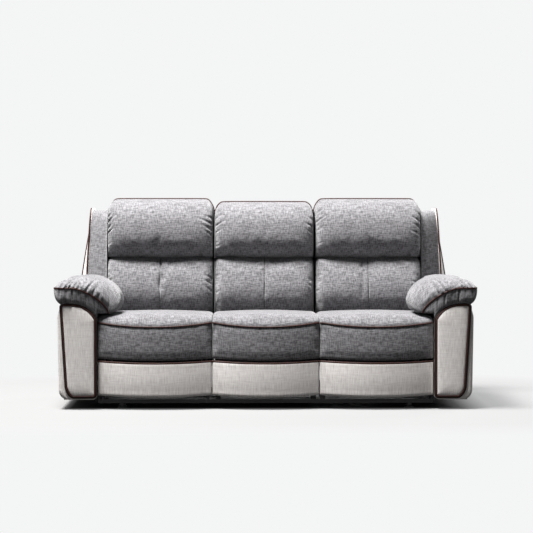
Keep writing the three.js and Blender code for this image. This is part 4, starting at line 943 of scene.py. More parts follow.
def headrest(prefix, centre, half, top, body, marks):
    """A headrest cushion and the piping over its top."""
    x = row_places(half, 0.008)
    make = headrest_controls(top - HEADREST_SETTLE)
    points, starts = filled(x, half, centre, make, headrest_runs, headrest_hold, pressure=3.0, growth=0.04, cap=0.012,
                            fineness=2.0)
    normal = outward_normals(points)
    height = points[..., 2]
    face = smoothstep(-normal[..., 1], -0.1, 0.3)
    carve = np.zeros_like(height)
    for side, rows in marks.items():
        inward = (half - side * x)[:, None] * np.ones_like(height)
        carve = carve + folds(inward, height, rows) * face
    points = points + normal * carve[..., None]
    points[..., 2] = np.minimum(points[..., 2], top + 0.004)
    points = eased(points, centre, half)
    made = piece(f"{prefix}_headrest", points, grey_fabric, body)
    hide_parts(f"{prefix}_headrest_cushion")
    crest = top_line(points, HEADREST_CORD_Y)
    path = crest + np.array([0, 0, THIN_CORD * 0.5])
    cord(f"{prefix}_headrest_cord", path, THICK_CORD, (0, 0, 1), body)


def top_line(points, depth):
    """The line over a cushion at a depth: in each row the highest point close to it."""
    near = np.abs(points[..., 1] - depth) < 0.02
    height = np.where(near, points[..., 2], -1)
    column = np.argmax(height, axis=1)
    line = points[np.arange(len(points)), column]
    line[:, 1] = depth
    return line


# Front panels

PANEL_FACE = ((0.03, 0.1), (0.2, 0.7), (0.5, 1), (0.8, 0.7), (0.97, 0.1))
PANEL_ROUND = 0.005


def panel(name, node, cord_name, cord_node, centre, half, back, body, spread=PANEL_EASE):
    """An ivory panel below a seat with a slight bulge, and the thick piping along its top."""
    x = row_places(half - PANEL_EASE, 0.01, 5, 0.014)
    bow = bowed(x / half)
    front = SEAT_FRONT_SIDE - SEAT_BOW * bow
    low = PANEL_BOTTOM - PANEL_DIP * bow
    tall = PANEL_TOP - PANEL_DIP * bow - low
    inset = end_draw(x, half - PANEL_EASE, 0.006, 0.005)
    one = np.ones_like(x)
    rows = [(back * one, low), (front + PANEL_ROUND + inset, low)]
    rows += [(front + inset - bulge * PANEL_BULGE, low + rise * tall) for rise, bulge in PANEL_FACE]
    rows += [(front + PANEL_ROUND + inset, low + tall), (back * one, low + tall)]
    controls = np.stack([np.stack([y, z], axis=1) for y, z in rows], axis=1)
    last = len(rows) - 1
    weights, _ = runs_matrix(controls[len(x) // 3], [(0, 1, 4), (1, last - 1, 40), (last - 1, last, 4),
                                                     (last, last + 1, 12)])
    points = lofted(x, centre, controls, weights)
    behind = smoothstep(points[..., 1] - front[:, None], PANEL_ROUND, 2 * PANEL_ROUND)
    end = (np.abs(x) >= half - 2 * PANEL_EASE)[:, None] * np.sign(x)[:, None]
    points[..., 0] += end * behind * spread
    made = piece(name, points, ivory_fabric, body)
    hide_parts(node)
    places = np.linspace(-half + THICK_CORD, half - THICK_CORD, 80)
    bow = bowed(places / half)
    path = np.stack([places + centre, SEAT_FRONT_SIDE - SEAT_BOW * bow + PANEL_CORD_DROP,
                     PANEL_TOP - PANEL_DIP * bow - PANEL_CORD_DROP], axis=1)
    trim = cord(cord_name, path, PANEL_CORD, (0, -1, 0), body)
    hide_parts(cord_node)


# Arms

ARM_CURVE_POWER = 4
ARM_COVER_CORNER = 0.045
ARM_COVER_LEAN = 0.008
ARM_FACE_CORNER = 0.055
ARM_FACE_LEAN = 0.033
ARM_LEAN_POWER = 1.9
ARM_FACE_RISE = 0.009
ARM_INNER_CORNER = 0.02
ARM_SHOULDER = 0.018


def arm_top(share):
    """Height of the arm's top: a quartic that falls steeply to the seat."""
    return ARM_TOP_INNER + (ARM_TOP_OUTER - ARM_TOP_INNER) * (1 - (1 - share) ** ARM_CURVE_POWER)


def arm_outline(outer_corner, low, lean, count=220):
    """The arm's front outline for the right side, from a given height up: round lower corners, the outer one of a
    given radius, a round shoulder and the falling top. The outer side leans in towards the bottom."""
    def arc(x, z, radius, start):
        turn = start + np.linspace(0, math.pi / 2, 16)
        return np.stack([x + radius * np.cos(turn), z + radius * np.sin(turn)], axis=1)
    share = np.linspace(0.9, 0, 60)
    top = np.stack([ARM_INNER + share * (ARM_PANEL_OUTER - ARM_INNER), arm_top(share)], axis=1)
    loop = np.concatenate([
        arc(ARM_INNER + ARM_INNER_CORNER, low + ARM_INNER_CORNER, ARM_INNER_CORNER, math.pi),
        arc(ARM_PANEL_OUTER - outer_corner, low + outer_corner, outer_corner, 1.5 * math.pi),
        arc(ARM_PANEL_OUTER - ARM_SHOULDER, ARM_TOP_OUTER - ARM_SHOULDER, ARM_SHOULDER, 0)[:-1],
        top])
    middle = (ARM_INNER + ARM_PANEL_OUTER) / 2
    share = np.clip((loop[:, 0] - middle) / (ARM_PANEL_OUTER - middle), 0, 1)
    fall = np.clip((ARM_TOP_INNER - loop[:, 1]) / (ARM_TOP_INNER - ARM_LOW), 0, 1)
    loop[:, 0] -= lean * share * fall**ARM_LEAN_POWER
    return resampled(loop, count)


def inset_loop(loop, distance):
    """A closed loop moved inwards along its normals."""
    along = np.roll(loop, -1, axis=0) - np.roll(loop, 1, axis=0)
    along /= np.maximum(np.linalg.norm(along, axis=1, keepdims=True), TINY)
    return loop + distance * np.stack([-along[:, 1], along[:, 0]], axis=1)


CUP_LIP = 0.008
CUP_GAP = 0.0005
POCKET_FLOOR = 0.0265
POCKET_OUT = 0.02


def pocketed(made, node, side):
    """Cuts the pocket that the release cup sits in out of an arm's side: the cup's box without its lip."""
    corners = np.array([nodes[node].matrix_world @ vertex.co for vertex in nodes[node].data.vertices])
    low = corners.min(axis=0)
    high = corners.max(axis=0)
    trim = CUP_LIP - CUP_GAP
    reach = np.sort(side * np.array([np.abs(corners[:, 0]).max() - POCKET_FLOOR - CUP_GAP,
                                     np.abs(corners[:, 0]).max() + POCKET_OUT]))
    low = np.array([reach[0], low[1] + trim, low[2] + trim])
    high = np.array([reach[1], high[1] - trim, high[2] - trim])
    corner = np.array([(i, j, k) for i in (0, 1) for j in (0, 1) for k in (0, 1)])
    box = bpy.data.meshes.new("pocket")
    box.from_pydata((low + corner * (high - low)).tolist(), [],
                    [(0, 1, 3, 2), (4, 6, 7, 5), (0, 4, 5, 1), (2, 3, 7, 6), (0, 2, 6, 4), (1, 5, 7, 3)])
    cutter = bpy.data.objects.new("pocket", box)
    bpy.context.scene.collection.objects.link(cutter)
    cut = made.modifiers.new("pocket", "BOOLEAN")
    cut.operation = "DIFFERENCE"
    cut.solver = "EXACT"
    cut.object = cutter
    shaped = bpy.data.meshes.new_from_object(made.evaluated_get(bpy.context.evaluated_depsgraph_get()))
    made.modifiers.clear()
    made.data = shaped
    bpy.data.objects.remove(cutter)


def arm(prefix, side):
    """An arm: the ivory cover, the padded front panel, and the piping round the panel."""
    loop = arm_outline(ARM_COVER_CORNER, ARM_LOW, ARM_COVER_LEAN)
    depth = np.concatenate([[0, 0.001, 0.003, 0.006, 0.01, 0.015], np.linspace(0.022, 0.688, 70),
                            [0.696, 0.702, 0.706, 0.709, 0.71]])
    share = depth / depth[-1]
    bulge = ARM_BULGE * np.interp(share, (0, 0.005, 0.015, 0.03, 0.85, 0.95, 1), (0, 0.55, 0.85, 1, 1, 0.8, 0.4))
    rim = 0.008
    edge = np.minimum(depth, depth[-1] - depth)
    inset = rim * (1 - np.sqrt(np.maximum(0, 1 - (1 - np.clip(edge / rim, 0, 1)) ** 2)))
    rows = np.stack([inset_loop(loop, value) for value in inset])
    middle = (ARM_INNER + ARM_PANEL_OUTER) / 2
    below = np.clip((ARM_TOP_OUTER - rows[..., 1]) / (ARM_TOP_OUTER - ARM_TOP_INNER), 0, 1)
    out = np.where(rows[..., 0] > middle, bulge[:, None] * smoothstep(below, 0, 1), 0)
    y = np.broadcast_to((ARM_FRONT + depth)[:, None], out.shape)
    points = np.stack([side * (rows[..., 0] + out), y, rows[..., 1]], axis=2)
    made = piece(f"{prefix}_arm_side", points, ivory_fabric, "sofa_body")
    pocketed(made, f"{prefix}_release_cup", side)
    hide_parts(f"{prefix}_arm_cover")

    face = ARM_FRONT - 0.0003
    loop = arm_outline(ARM_FACE_CORNER, ARM_LOW + ARM_FACE_RISE, ARM_FACE_LEAN)
    panel_loop = inset_loop(loop, 0.012)
    core_x = (panel_loop[:, 0].min() + panel_loop[:, 0].max()) / 2
    reach = (panel_loop[:, 0].max() - panel_loop[:, 0].min()) / 2
    core_z = np.clip(panel_loop[:, 1], panel_loop[:, 1].min() + reach, panel_loop[:, 1].max() - reach * 1.2)
    core = np.stack([np.full(len(panel_loop), core_x), core_z], axis=1)
    turn = np.linspace(0.05, math.pi / 2, 16)
    spread = np.sin(turn)
    swellings = np.cos(turn) ** 0.6
    rings = core + (panel_loop - core) * spread[:, None, None]
    front = face - 0.004 - 0.009 * swellings
    grid = np.concatenate([rings, panel_loop[None]])
    y = np.broadcast_to(np.append(front, face)[:, None], grid.shape[:2])
    points = np.stack([side * grid[..., 0], y, grid[..., 1]], axis=2)
    uv = np.stack([np.abs(points[..., 0]), points[..., 2]], axis=2)
    uv = np.concatenate([uv, uv[:, :1]], axis=1)
    made = piece(f"{prefix}_arm_face", points, ivory_fabric, "sofa_body", uv=uv)
    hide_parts(f"{prefix}_arm_front_panel")

    path = inset_loop(loop, 0.008)
    path = np.stack([side * path[:, 0], np.full(len(path), face - THICK_CORD), path[:, 1]], axis=1)
    trim = cord(f"{prefix}_arm_face_cord", path, THICK_CORD, (0, -1, 0), "sofa_body", closed=True)
    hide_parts(f"{prefix}_arm_panel_piping")
    # A near-black welt just outside the piping: part real welt, part painted shadow line round the panel.
    path = inset_loop(loop, 0.001)
    path = np.stack([side * path[:, 0], np.full(len(path), face - 0.002), path[:, 1]], axis=1)
    cord(f"{prefix}_arm_face_welt_and_shadow", path, 0.004, (0, -1, 0), "sofa_body", closed=True, material=welt_and_painted_shadow)


PAD_UPPER = ((0.0, 0.708), (0.01, 0.79), (0.045, 0.875), (0.11, 0.93), (0.22, 0.965), (0.35, 0.992), (0.48, 1),
             (0.61, 0.975), (0.74, 0.9), (0.86, 0.745), (0.95, 0.52), (1, 0.28), (0.975, 0.1), (0.9, 0))
PAD_TIP_LOW = ((0.13, 0.29), (0.08, 0.34), (0.036, 0.44), (0.014, 0.57), (0.002, 0.66))
PAD_MARKS_UP = ((1.013, 0.06, 0.5, 0.007), (0.99, 0.045, 0.4, 0.003), (0.967, 0.1, 0.45, 0.01),
                (0.949, 0.06, 0.4, 0.004), (0.93, 0.08, 0.4, 0.008), (0.908, 0.05, 0.35, 0.005),
                (0.872, 0.11, 0.4, 0.01), (0.842, 0.06, 0.35, 0.006), (0.815, 0.05, 0.3, 0.004))
PAD_MARKS_LOW = ((1.0, 0.04, 0.1, 0.003), (0.968, 0.06, 0.1, 0.003), (0.938, 0.08, 0.05, 0.007),
                 (0.905, 0.04, 0.05, 0.003), (0.87, 0.07, 0.05, 0.006), (0.835, 0.04, 0.0, 0.003))
PAD_SEAM_POWER = 1.5
PAD_SEAM_LOW = 0.469
PAD_SLANT = 0.055
PAD_NOSE_LENGTH = 0.13
PAD_CORNER = 0.045
PAD_LOW_REACH = 0.16
PAD_LOW_POWER = 3.5
PAD_SLOPE_START = 0.15
PAD_FLAT_END = 0.06
PAD_SLOPE_TOP = 0.61
PAD_REAR_TOP = 0.556


def pad_across(x):
    """How far a place is from the flat part of the pad's seam, 0, to its inner end, 1."""
    return np.clip((PAD_SEAM_FLAT - x) / (PAD_SEAM_FLAT - PAD_SEAM_INNER), 0, 1)


def pad_rounding(x):
    """How far back the nose lies at its outer corner: a quarter circle in plan."""
    share = np.clip((x - PAD_OUTER + PAD_CORNER) / PAD_CORNER, 0, 1)
    return PAD_CORNER * (1 - np.sqrt(1 - share**2))


def pad_seam_height(x):
    """Height of the pad's front seam: level at the outer side, then down a superellipse to its inner end."""
    drop = (1 - pad_across(x) ** PAD_SEAM_POWER) ** (1 / PAD_SEAM_POWER)
    return PAD_SEAM_LOW + (PAD_SEAM_HEIGHT - PAD_SEAM_LOW) * drop


def pad_cap(y):
    """The highest the pad may be at a depth: level, then sloping down under the wing."""
    early = PAD_TOP - (PAD_TOP - PAD_SLOPE_TOP) * (y - PAD_FLAT_END) / (PAD_SLOPE_START - PAD_FLAT_END)
    late = PAD_SLOPE_TOP - (PAD_SLOPE_TOP - PAD_REAR_TOP) * (y - PAD_SLOPE_START) / (PAD_REAR - PAD_SLOPE_START)
    return np.where(y < PAD_FLAT_END, PAD_TOP, np.where(y < PAD_SLOPE_START, early, late))


def pad_section():
    """The pad's section in the middle of the arm, as an upper curve from the outer tip to the inner lip and a lower
    curve back over the arm's top to the tip."""
    width = PAD_OUTER - PAD_INNER
    height = PAD_TOP - PAD_LOW
    upper = np.array([(PAD_OUTER - across * width, PAD_LOW + rise * height) for across, rise in PAD_UPPER])
    share = np.array([0, 0.04, 0.1, 0.2, 0.34, 0.52, 0.72, 0.9])
    arm_line = np.stack([ARM_INNER + share * (ARM_PANEL_OUTER - ARM_INNER), arm_top(share) + 0.0006], axis=1)
    tip = np.array([(PAD_OUTER - across * width, PAD_LOW + rise * height) for across, rise in PAD_TIP_LOW])
    lower = np.concatenate([[upper[-1], (ARM_INNER - 0.0012, PAD_LOW)], arm_line, tip, [upper[0]]])
    return upper, lower


def pad_grid(row_count, upper_count, lower_count):
    """The pad's grid. Each row is the section moved towards the front seam's curve: at the nose it lies on the seam,
    and it grows from there along an ellipse above the seam and a fuller, shorter superellipse below it."""
    upper, lower = pad_section()
    top = curve(upper, upper_count + 1)[:-1]
    corner = 2
    under = np.concatenate([
        curve(lower[:corner], lower_count // 5 + 1)[:-1],
        curve(lower[corner - 1:corner + 1], 5)[:-1],
        curve(lower[corner:], lower_count)[:-1]])
    nose_rows = row_count // 3
    turn = np.linspace(0, math.pi / 2, nose_rows)
    nose = PAD_NOSE + PAD_NOSE_LENGTH * (1 - np.cos(turn))
    grow_up = np.maximum(np.sin(turn), 0.004)
    low_share = np.clip((1 - np.cos(turn)) / PAD_LOW_REACH, 0, 1)
    grow_low = np.maximum((1 - (1 - low_share) ** PAD_LOW_POWER) ** (1 / PAD_LOW_POWER), 0.004)
    blend = np.cos(turn)
    body = np.linspace(PAD_NOSE + PAD_NOSE_LENGTH, PAD_REAR, row_count - nose_rows + 1)[1:]
    y = np.concatenate([nose, body])
    grow_up = np.concatenate([grow_up, np.ones_like(body)])
    grow_low = np.concatenate([grow_low, np.ones_like(body)])
    slant = np.concatenate([blend, np.zeros_like(body)])
    keep = 1 - smoothstep(y, -0.15, 0.028) * 0.98

    def grown(section, growth):
        seam_x = np.clip(section[:, 0], PAD_SEAM_INNER, PAD_OUTER)
        seam_z = pad_seam_height(seam_x)
        x = seam_x + growth[:, None] * (section[:, 0] - seam_x)
        z = seam_z + growth[:, None] * (section[:, 1] - seam_z)
        z = np.minimum(z, pad_cap(y)[:, None])
        edge = ARM_INNER - 0.0003
        x = np.where(x < edge, edge - (edge - x) * keep[:, None], x)
        shifted = y[:, None] + slant[:, None] * (PAD_SLANT * pad_across(seam_x) ** 3 + pad_rounding(seam_x))
        return np.stack([x, shifted, z], axis=2)

    upper_part = gathered(grown(top, grow_up), top[:, 0], PAD_MARKS_UP)
    lower_part = gathered(grown(under, grow_low), under[:, 0], PAD_MARKS_LOW)
    return np.concatenate([upper_part, lower_part], axis=1), len(top)


def gathered(points, places, marks, width=0.0036):
    """Gathers the cloth at the pad's front seam. A mark is the place across where a fold starts, its length, how far
    it leans inwards for each unit and its depth: a valley with low ridges, square to the seam, that dies out."""
    distance = np.linalg.norm(points - points[:1], axis=2)
    carve = np.zeros(points.shape[:2])
    for start, length, lean, depth in marks:
        offset = (places[None, :] - start + lean * distance) / width
        fade = np.clip(1 - distance / length, 0, 1) ** 0.7 * smoothstep(distance, 0, 0.008)
        carve += depth * fade * fold_profile(offset)
    normal = normals(points, wrap=False)
    outside = np.where(np.sum(normal[len(normal) // 8] * np.array([0, -1, 0])) > 0, 1, -1)
    return points + outside * normal * carve[..., None]


def pad_cord_path():
    """The pad's piping: from the inner end of the front seam to the outer corner, round it, and back along the
    outer side."""
    outer = PAD_OUTER + 0.00225 - THICK_CORD
    share = np.linspace(0, 1, 60) ** 1.6
    x = PAD_SEAM_INNER + share * (PAD_SEAM_FLAT - PAD_SEAM_INNER)
    front = np.stack([x, PAD_NOSE + PAD_SLANT * pad_across(x) ** 3, pad_seam_height(x)], axis=1)
    turn = np.linspace(0, math.pi / 2, 14)
    corner = np.stack([outer - PAD_CORNER * (1 - np.sin(turn)), PAD_NOSE + PAD_CORNER * (1 - np.cos(turn)),
                       np.full(14, PAD_SEAM_HEIGHT)], axis=1)
    y = np.linspace(PAD_NOSE + PAD_CORNER + 0.01, 0.2, 70)
    level = np.minimum(PAD_SEAM_HEIGHT, pad_cap(y) - 2 * THICK_CORD)
    sides = np.stack([np.full(70, outer), y, level], axis=1)
    path = np.concatenate([front, corner, sides])
    turned = np.concatenate([np.zeros(60), turn, np.full(70, math.pi / 2)])
    outward = np.stack([np.sin(turned), -np.cos(turned), np.zeros(len(path))], axis=1)
    return path, outward


def arm_pad(prefix, side):
    """The pillow over an arm and its piping."""
    points, split = pad_grid(180, 300, 110)
    rough, rough_split = pad_grid(60, 44, 26)
    held = np.zeros(rough.shape[:2])
    held[0] = 1
    held[-1] = 1
    held[:, rough_split - 2:rough_split + 22] = 1
    held[:, 0] = 1
    cap = 0.01
    move = swell(rough, held, pressure=3.0, growth=0.06, cap=cap)
    rough_y = np.linspace(0, 1, len(rough))
    fine_y = np.linspace(0, 1, len(points))
    rough_share = column_shares([0, rough_split], rough.shape[1])
    fine_share = column_shares([0, split], points.shape[1])
    points = points + softened(upsampled(softened(move), rough_y, fine_y, rough_share, fine_share))
    points[..., 0] = np.minimum(points[..., 0], PAD_OUTER + 0.003)
    points[..., 1] = np.minimum(points[..., 1], PAD_REAR)
    stand = cap * (1 - smoothstep(points[..., 1], 0.0, 0.09))
    points[..., 2] = np.minimum(points[..., 2], pad_cap(points[..., 1]) + stand)
    points = points * np.array([side, 1, 1])
    made = piece(f"{prefix}_pad", points, grey_fabric, "sofa_body")
    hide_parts(f"{prefix}_arm_pad")
    path, outward = pad_cord_path()
    mirror = np.array([side, 1, 1])
    trim = cord(f"{prefix}_pad_cord", path * mirror, THICK_CORD, outward * mirror, "sofa_body")
    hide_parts(f"{prefix}_arm_pad_piping")


# Wings

WING_INNER = 0.8163
WING_FRONT = 0.166
WING_TOP = 0.968
WING_LOW_GAP = 0.008
WING_HEEL_Y = 0.263
WING_HEEL_Z = 0.5
WING_WIDTH_TOP = 0.092
WING_WIDTH_LOW = 0.136
WING_FLARE = 0.022


def cover_rear(z):
    """Depth of the back cover's rear at a height."""
    return COVER_REAR_LOW + BACK_SLOPE * (z - BACK_LOW)


def wing_outline(count=150):
    """The wing seen from the side, as (y, z): up a rounded front edge, back over the top, down the leaning rear."""
    low = float(pad_cap(np.array(WING_FRONT))) + WING_LOW_GAP
    rear_top = cover_rear(WING_TOP)
    depth = rear_top - WING_FRONT
    tall = WING_TOP - low
    front = [(WING_FRONT, low)] + [(WING_FRONT + a * depth, low + b * tall) for a, b in (
        (0.005, 0.25), (0.025, 0.45), (0.07, 0.72), (0.13, 0.88), (0.22, 0.97), (0.34, 1))]
    front = curve(front, 60)
    rest = np.array([(rear_top - WING_FLARE, WING_TOP), (cover_rear(WING_TOP - WING_FLARE), WING_TOP - WING_FLARE),
                     (cover_rear(WING_HEEL_Z), WING_HEEL_Z), (WING_HEEL_Y, WING_HEEL_Z),
                     (WING_HEEL_Y, float(pad_cap(np.array(WING_HEEL_Y))) + 0.026)])
    return resampled(np.concatenate([front, rest]), count)


def wing_width(y, z):
    """The wing's width: wider towards the bottom and the rear, even at the top."""
    low = float(pad_cap(np.array(WING_FRONT))) + WING_LOW_GAP
    rise = np.clip((z - low) / (WING_TOP - low), 0, 1)
    depth = (y - WING_FRONT) / (cover_rear(WING_TOP) - WING_FRONT)
    wide = WING_WIDTH_LOW - WING_FLARE + 2 * WING_FLARE * depth
    return wide + (WING_WIDTH_TOP - wide) * rise


WING_SWEEP = 0.085


def wing_swept(y, z, across):
    """Sweeps the wing's front back towards its outer side, the more the nearer a place is to the front."""
    rear = cover_rear(z)
    near = np.clip((rear - y) / (rear - WING_FRONT), 0, 1)
    return y + WING_SWEEP * across**1.3 * near


def wing(prefix, side, body):
    """A wing: the grey body, the ivory outer side and the piping round that side."""
    loop = wing_outline()
    across = np.concatenate([[0, 0.01, 0.03, 0.06, 0.1], np.linspace(0.16, 0.84, 12), [0.9, 0.94, 0.97]])
    round_width = 0.2
    near = np.minimum(across, 1 - across)
    inset = 0.014 * (1 - np.sqrt(np.maximum(0, 1 - (1 - np.clip(near / round_width, 0, 1)) ** 2)))
    rows = np.stack([inset_loop(loop, value) for value in inset])
    width = wing_width(rows[..., 0], rows[..., 1])
    x = WING_INNER + across[:, None] * width
    swept = wing_swept(rows[..., 0], rows[..., 1], across[:, None])
    points = np.stack([side * x, swept, rows[..., 1]], axis=2)
    made = piece(f"{prefix}_wing_body", points, grey_fabric, body)
    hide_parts(f"{prefix}_wing")

    edge = inset_loop(loop, 0.012)
    middle = edge.mean(axis=0)
    turn = np.linspace(0.05, math.pi / 2, 12)
    rings = middle + (edge - middle) * np.sin(turn)[:, None, None]
    lift = 0.004 * np.cos(turn) ** 0.6
    rings = np.concatenate([rings, edge[None]])
    lift = np.append(lift, -0.0065)
    x = WING_INNER + wing_width(rings[..., 0], rings[..., 1]) + lift[:, None]
    swept = wing_swept(rings[..., 0], rings[..., 1], 1.0)
    points = np.stack([side * x, swept, rings[..., 1]], axis=2)
    uv = np.concatenate([rings, rings[:, :1]], axis=1)
    piece(f"{prefix}_wing_side", points, ivory_fabric, body, uv=uv)

    rim = inset_loop(loop, 0.009)
    rearward = np.clip((rim[:, 0] - WING_FRONT) / (cover_rear(rim[:, 1]) - WING_FRONT), 0, 1)
    x = WING_INNER + wing_width(rim[:, 0], rim[:, 1]) + 0.004 * rearward
    path = np.stack([side * x, wing_swept(rim[:, 0], rim[:, 1], 0.97), rim[:, 1]], axis=1)
    cord(f"{prefix}_wing_cord", path, THICK_CORD, (side, 0, 0), body, closed=True)


# Back covers

COVER_DOME = 0.006


def back_cover(prefix, centre, half, body):
    """The cloth over the back's rear: a channel in plan with round corners, leaning with the back, slightly domed."""
    corner = 0.012
    wall = 0.008
    turn = np.linspace(0, math.pi / 2, 8)
    outer = np.concatenate([
        [(-half, -COVER_FLANGE)],
        np.stack([-half + corner * (1 - np.cos(turn)), -corner * (1 - np.sin(turn))], axis=1),
        np.stack([half - corner * (1 - np.sin(turn)), -corner * (1 - np.cos(turn))], axis=1),
        [(half, -COVER_FLANGE)]])
    inner = np.array([(half - wall, -COVER_FLANGE), (half - wall, -wall), (-half + wall, -wall),
                      (-half + wall, -COVER_FLANGE)])
    plan = resampled(np.concatenate([outer, inner]), 190)
    z = np.linspace(BACK_LOW, BACK_TOP, 60)
    x = np.broadcast_to(centre + plan[:, 0], (len(z), len(plan)))
    rise = (z - BACK_LOW) / (BACK_TOP - BACK_LOW)
    dome = (1 - np.abs(2 * rise - 1) ** 4)[:, None] * (1 - np.abs(plan[:, 0] / half) ** 4)
    y = cover_rear(z)[:, None] + plan[:, 1] + COVER_DOME * dome
    points = np.stack([x, y, np.broadcast_to(z[:, None], x.shape)], axis=2)
    made = piece(f"{prefix}_back_cloth", points, lining_fabric, body)
    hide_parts(f"{prefix}_back_cover")


# Assembly

HEADREST_MARKS = {
    "left": {-1: [(0.955, 0.04, 0.9, 0.003), (0.93, 0.05, 0.8, 0.005), (0.905, 0.06, 0.75, 0.007),
                  (0.875, 0.04, 0.7, 0.004), (0.85, 0.05, 0.65, 0.0055), (0.79, 0.04, 0.5, 0.003),
                  (0.745, 0.06, 0.35, 0.004)],
             1: [(0.925, 0.07, 0.35, 0.004), (0.895, 0.095, 0.4, 0.006), (0.862, 0.08, 0.5, 0.005),
                 (0.835, 0.06, 0.55, 0.004), (0.775, 0.05, 0.4, 0.003)]},
    "middle": {-1: [(0.92, 0.06, 0.6, 0.004), (0.885, 0.08, 0.5, 0.0055), (0.85, 0.05, 0.5, 0.004),
                    (0.78, 0.05, 0.35, 0.003)],
               1: [(0.915, 0.06, 0.5, 0.004), (0.88, 0.075, 0.45, 0.005), (0.845, 0.06, 0.5, 0.004),
                   (0.77, 0.04, 0.3, 0.003)]},
    "right": {-1: [(0.945, 0.06, 0.7, 0.004), (0.905, 0.08, 0.6, 0.006), (0.86, 0.05, 0.5, 0.004),
                   (0.79, 0.05, 0.4, 0.003)],
              1: [(0.94, 0.05, 0.6, 0.004), (0.905, 0.08, 0.55, 0.006), (0.875, 0.07, 0.5, 0.005),
                  (0.84, 0.08, 0.4, 0.0045), (0.79, 0.06, 0.3, 0.004)]},
}
LUMBAR_MARKS = {
    "left": {-1: [(0.655, 0.05, -0.5, 0.0035), (0.6, 0.05, 0.4, 0.0035), (0.56, 0.07, 0.5, 0.004)],
             1: [(0.62, 0.06, 0.3, 0.004), (0.585, 0.07, 0.5, 0.005), (0.55, 0.06, 0.55, 0.004),
                 (0.515, 0.05, 0.6, 0.003)]},
    "middle": {-1: [(0.63, 0.05, 0.2, 0.003), (0.585, 0.06, 0.4, 0.004), (0.54, 0.05, 0.5, 0.003)],
               1: [(0.61, 0.05, 0.3, 0.0035), (0.57, 0.06, 0.5, 0.004), (0.53, 0.04, 0.5, 0.003)]},
    "right": {-1: [(0.63, 0.05, 0.2, 0.003), (0.59, 0.05, 0.4, 0.0035), (0.55, 0.05, 0.5, 0.003)],
              1: [(0.625, 0.05, 0.35, 0.004), (0.585, 0.08, 0.35, 0.006), (0.55, 0.07, 0.5, 0.005),
                  (0.515, 0.05, 0.6, 0.003)]},
}

for prefix, centre, half, top, seat_body, back_body in (
        ("left", -OUTER_CENTRE, OUTER_HALF, HEADREST_TOP, "left_seat", "left_back"),
        ("middle", 0.0, MIDDLE_HALF, MIDDLE_HEADREST_TOP, "sofa_body", "sofa_body"),
        ("right", OUTER_CENTRE, OUTER_HALF, HEADREST_TOP, "right_seat", "right_back")):
    seat(prefix, centre, half, seat_body)
    lumbar(prefix, centre, half, back_body, LUMBAR_MARKS[prefix])
    headrest(prefix, centre, half, top, back_body, HEADREST_MARKS[prefix])
    back_cover(prefix, centre, half, back_body)

for prefix, side in SIDES.items():
    panel(f"{prefix}_footrest", f"{prefix}_footrest_pad", f"{prefix}_footrest_cord", f"{prefix}_footrest_piping",
          side * OUTER_CENTRE, OUTER_HALF, SEAT_FRONT_SIDE + 0.018, f"{prefix}_footrest")
    arm(prefix, side)
    arm_pad(prefix, side)
    wing(prefix, side, f"{prefix}_back")
MIDDLE_PANEL_SPREAD = 0.0037
panel("middle_panel", "middle_front_panel", "middle_panel_cord", "middle_panel_piping", 0.0, MIDDLE_HALF,
      APRON_REAR, "sofa_body", MIDDLE_PANEL_SPREAD)

# Finishes of the part's own nodes
# Frames seen only through gaps and in dark corners get the near-black plywood: painted shade.
PAINTED_SHADOW_NODES = ("left_arm_frame", "right_arm_frame", "middle_seat_frame", "left_seat_frame", "right_seat_frame",
                 "left_back_frame", "middle_back_frame", "right_back_frame")
for entry in frame["record"]["subparts"]:
    node = nodes[entry["node"]]
    node.data.materials.clear()
    in_painted_shadow = entry["node"] in PAINTED_SHADOW_NODES
    node.data.materials.append(painted_shadow_plywood if in_painted_shadow else FINISHES[entry["material_slot"]])

# Floor, light and camera
BACKGROUND = (0.905, 0.913, 0.913, 1)


FLOOR_LIFT = 0.45
FLOOR_COLOUR = (0.235, 0.235, 0.235, 1)
FLOOR_BOUNCE = (0.035, 0.035, 0.035, 1)


def floor_material():
    """A pale floor. Under the sofa it shows its full shadow. Further out it glows with part of the background's own
    colour, which keeps the shadow light, and far away it is the background."""
    material, graph, shader = new_material("floor")
    seen = graph.add("ShaderNodeLightPath").outputs["Is Camera Ray"]
    graph.tree.links.new(graph.mix(seen, FLOOR_BOUNCE, FLOOR_COLOUR), shader.inputs["Base Color"])
    shader.inputs["Roughness"].default_value = 0.9
    shader.inputs["Specular IOR Level"].default_value = 0.0
    place = graph.add("ShaderNodeTexCoord").outputs["Object"]
    mirrored = graph.add("ShaderNodeVectorMath", {0: place}, operation="ABSOLUTE").outputs[0]
    beyond = graph.add("ShaderNodeVectorMath", {0: mirrored, 1: (0.95, 0.38, 0.0)}, operation="SUBTRACT").outputs[0]
    outside = graph.add("ShaderNodeVectorMath", {0: beyond, 1: (0.0, 0.0, 0.0)}, operation="MAXIMUM").outputs[0]
    length = graph.add("ShaderNodeVectorMath", {0: outside}, operation="LENGTH").outputs["Value"]
    near = graph.between(length, 0.0, 0.16, 0.0, FLOOR_LIFT)
    far = graph.between(length, 0.35, 1.1)
    share = graph.math("MULTIPLY", graph.math("MAXIMUM", near, far), seen)
    glow = graph.add("ShaderNodeEmission", {"Color": BACKGROUND, "Strength": 1.0}).outputs[0]
    mixed = graph.add("ShaderNodeMixShader", {0: share, 1: shader.outputs[0], 2: glow}).outputs[0]
    end = next(node for node in material.node_tree.nodes if node.type == "OUTPUT_MATERIAL")
    graph.tree.links.new(mixed, end.inputs["Surface"])
    return material


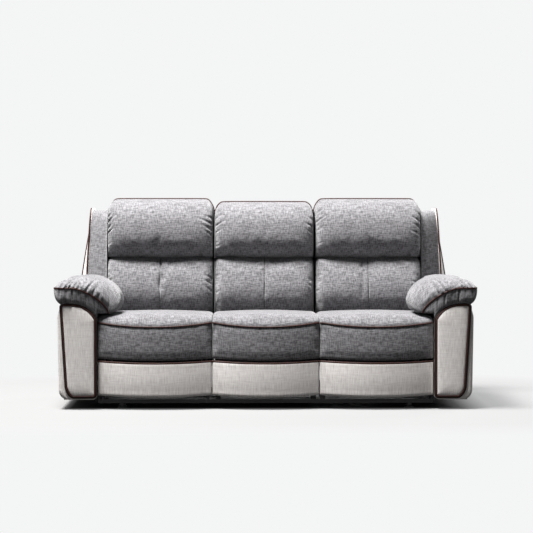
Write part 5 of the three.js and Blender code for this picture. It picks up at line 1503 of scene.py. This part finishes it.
floor_mesh = bpy.data.meshes.new("floor")
FLOOR_REACH = 60.0
floor_mesh.from_pydata([(-FLOOR_REACH, -FLOOR_REACH, 0), (FLOOR_REACH, -FLOOR_REACH, 0), (FLOOR_REACH, FLOOR_REACH, 0),
                        (-FLOOR_REACH, FLOOR_REACH, 0)], [], [(0, 1, 2, 3)])
floor_mesh.materials.append(floor_material())
floor = bpy.data.objects.new("floor", floor_mesh)
bpy.context.scene.collection.objects.link(floor)

world = bpy.data.worlds.new("studio")
bpy.context.scene.world = world
world.use_nodes = True
graph = Graph(world.node_tree)
shown = world.node_tree.nodes["Background"]
shown.inputs["Color"].default_value = (0.97, 0.985, 1.0, 1)
shown.inputs["Strength"].default_value = 0.11
seen = graph.add("ShaderNodeBackground", {"Color": BACKGROUND, "Strength": 1.0})
rays = graph.add("ShaderNodeLightPath").outputs
direct = graph.math("MAXIMUM", rays["Is Camera Ray"], rays["Is Glossy Ray"])
direct = graph.math("MAXIMUM", direct, rays["Is Transmission Ray"])
both = graph.add("ShaderNodeMixShader", {0: direct, 1: shown.outputs[0], 2: seen.outputs[0]})
end = next(node for node in world.node_tree.nodes if node.type == "OUTPUT_WORLD")
graph.tree.links.new(both.outputs[0], end.inputs["Surface"])


def lamp(name, place, target, size, power, colour):
    """A square soft light that faces its target."""
    light = bpy.data.lights.new(name, "AREA")
    light.shape = "RECTANGLE"
    light.size = size[0]
    light.size_y = size[1]
    light.energy = power
    light.color = colour
    holder = bpy.data.objects.new(name, light)
    bpy.context.scene.collection.objects.link(holder)
    aim(holder, place, target)
    return holder


def aim(holder, place, target):
    """Puts an object at a place and turns its -Z axis to the target, its Y axis upwards."""
    holder.location = place
    direction = Vector(target) - Vector(place)
    holder.rotation_euler = direction.to_track_quat("-Z", "Y").to_euler()


lamp("key", (-2.0, -1.45, 7.95), (0, 0, 0.5), (3.0, 2.4), 2600, (1.0, 0.99, 0.98))
lamp("rear fill", (5.2, 4.6, 3.0), (0, 0, 0.5), (4.0, 3.0), 380, (1.0, 1.0, 1.0))

camera = bpy.data.cameras.new("camera")
camera.lens = CAMERA_LENS
camera.sensor_width = SENSOR_WIDTH
camera_holder = bpy.data.objects.new("camera", camera)
bpy.context.scene.collection.objects.link(camera_holder)
aim(camera_holder, CAMERA_PLACE, CAMERA_TARGET)
bpy.context.scene.camera = camera_holder
bpy.context.scene.view_settings.view_transform = "Standard"
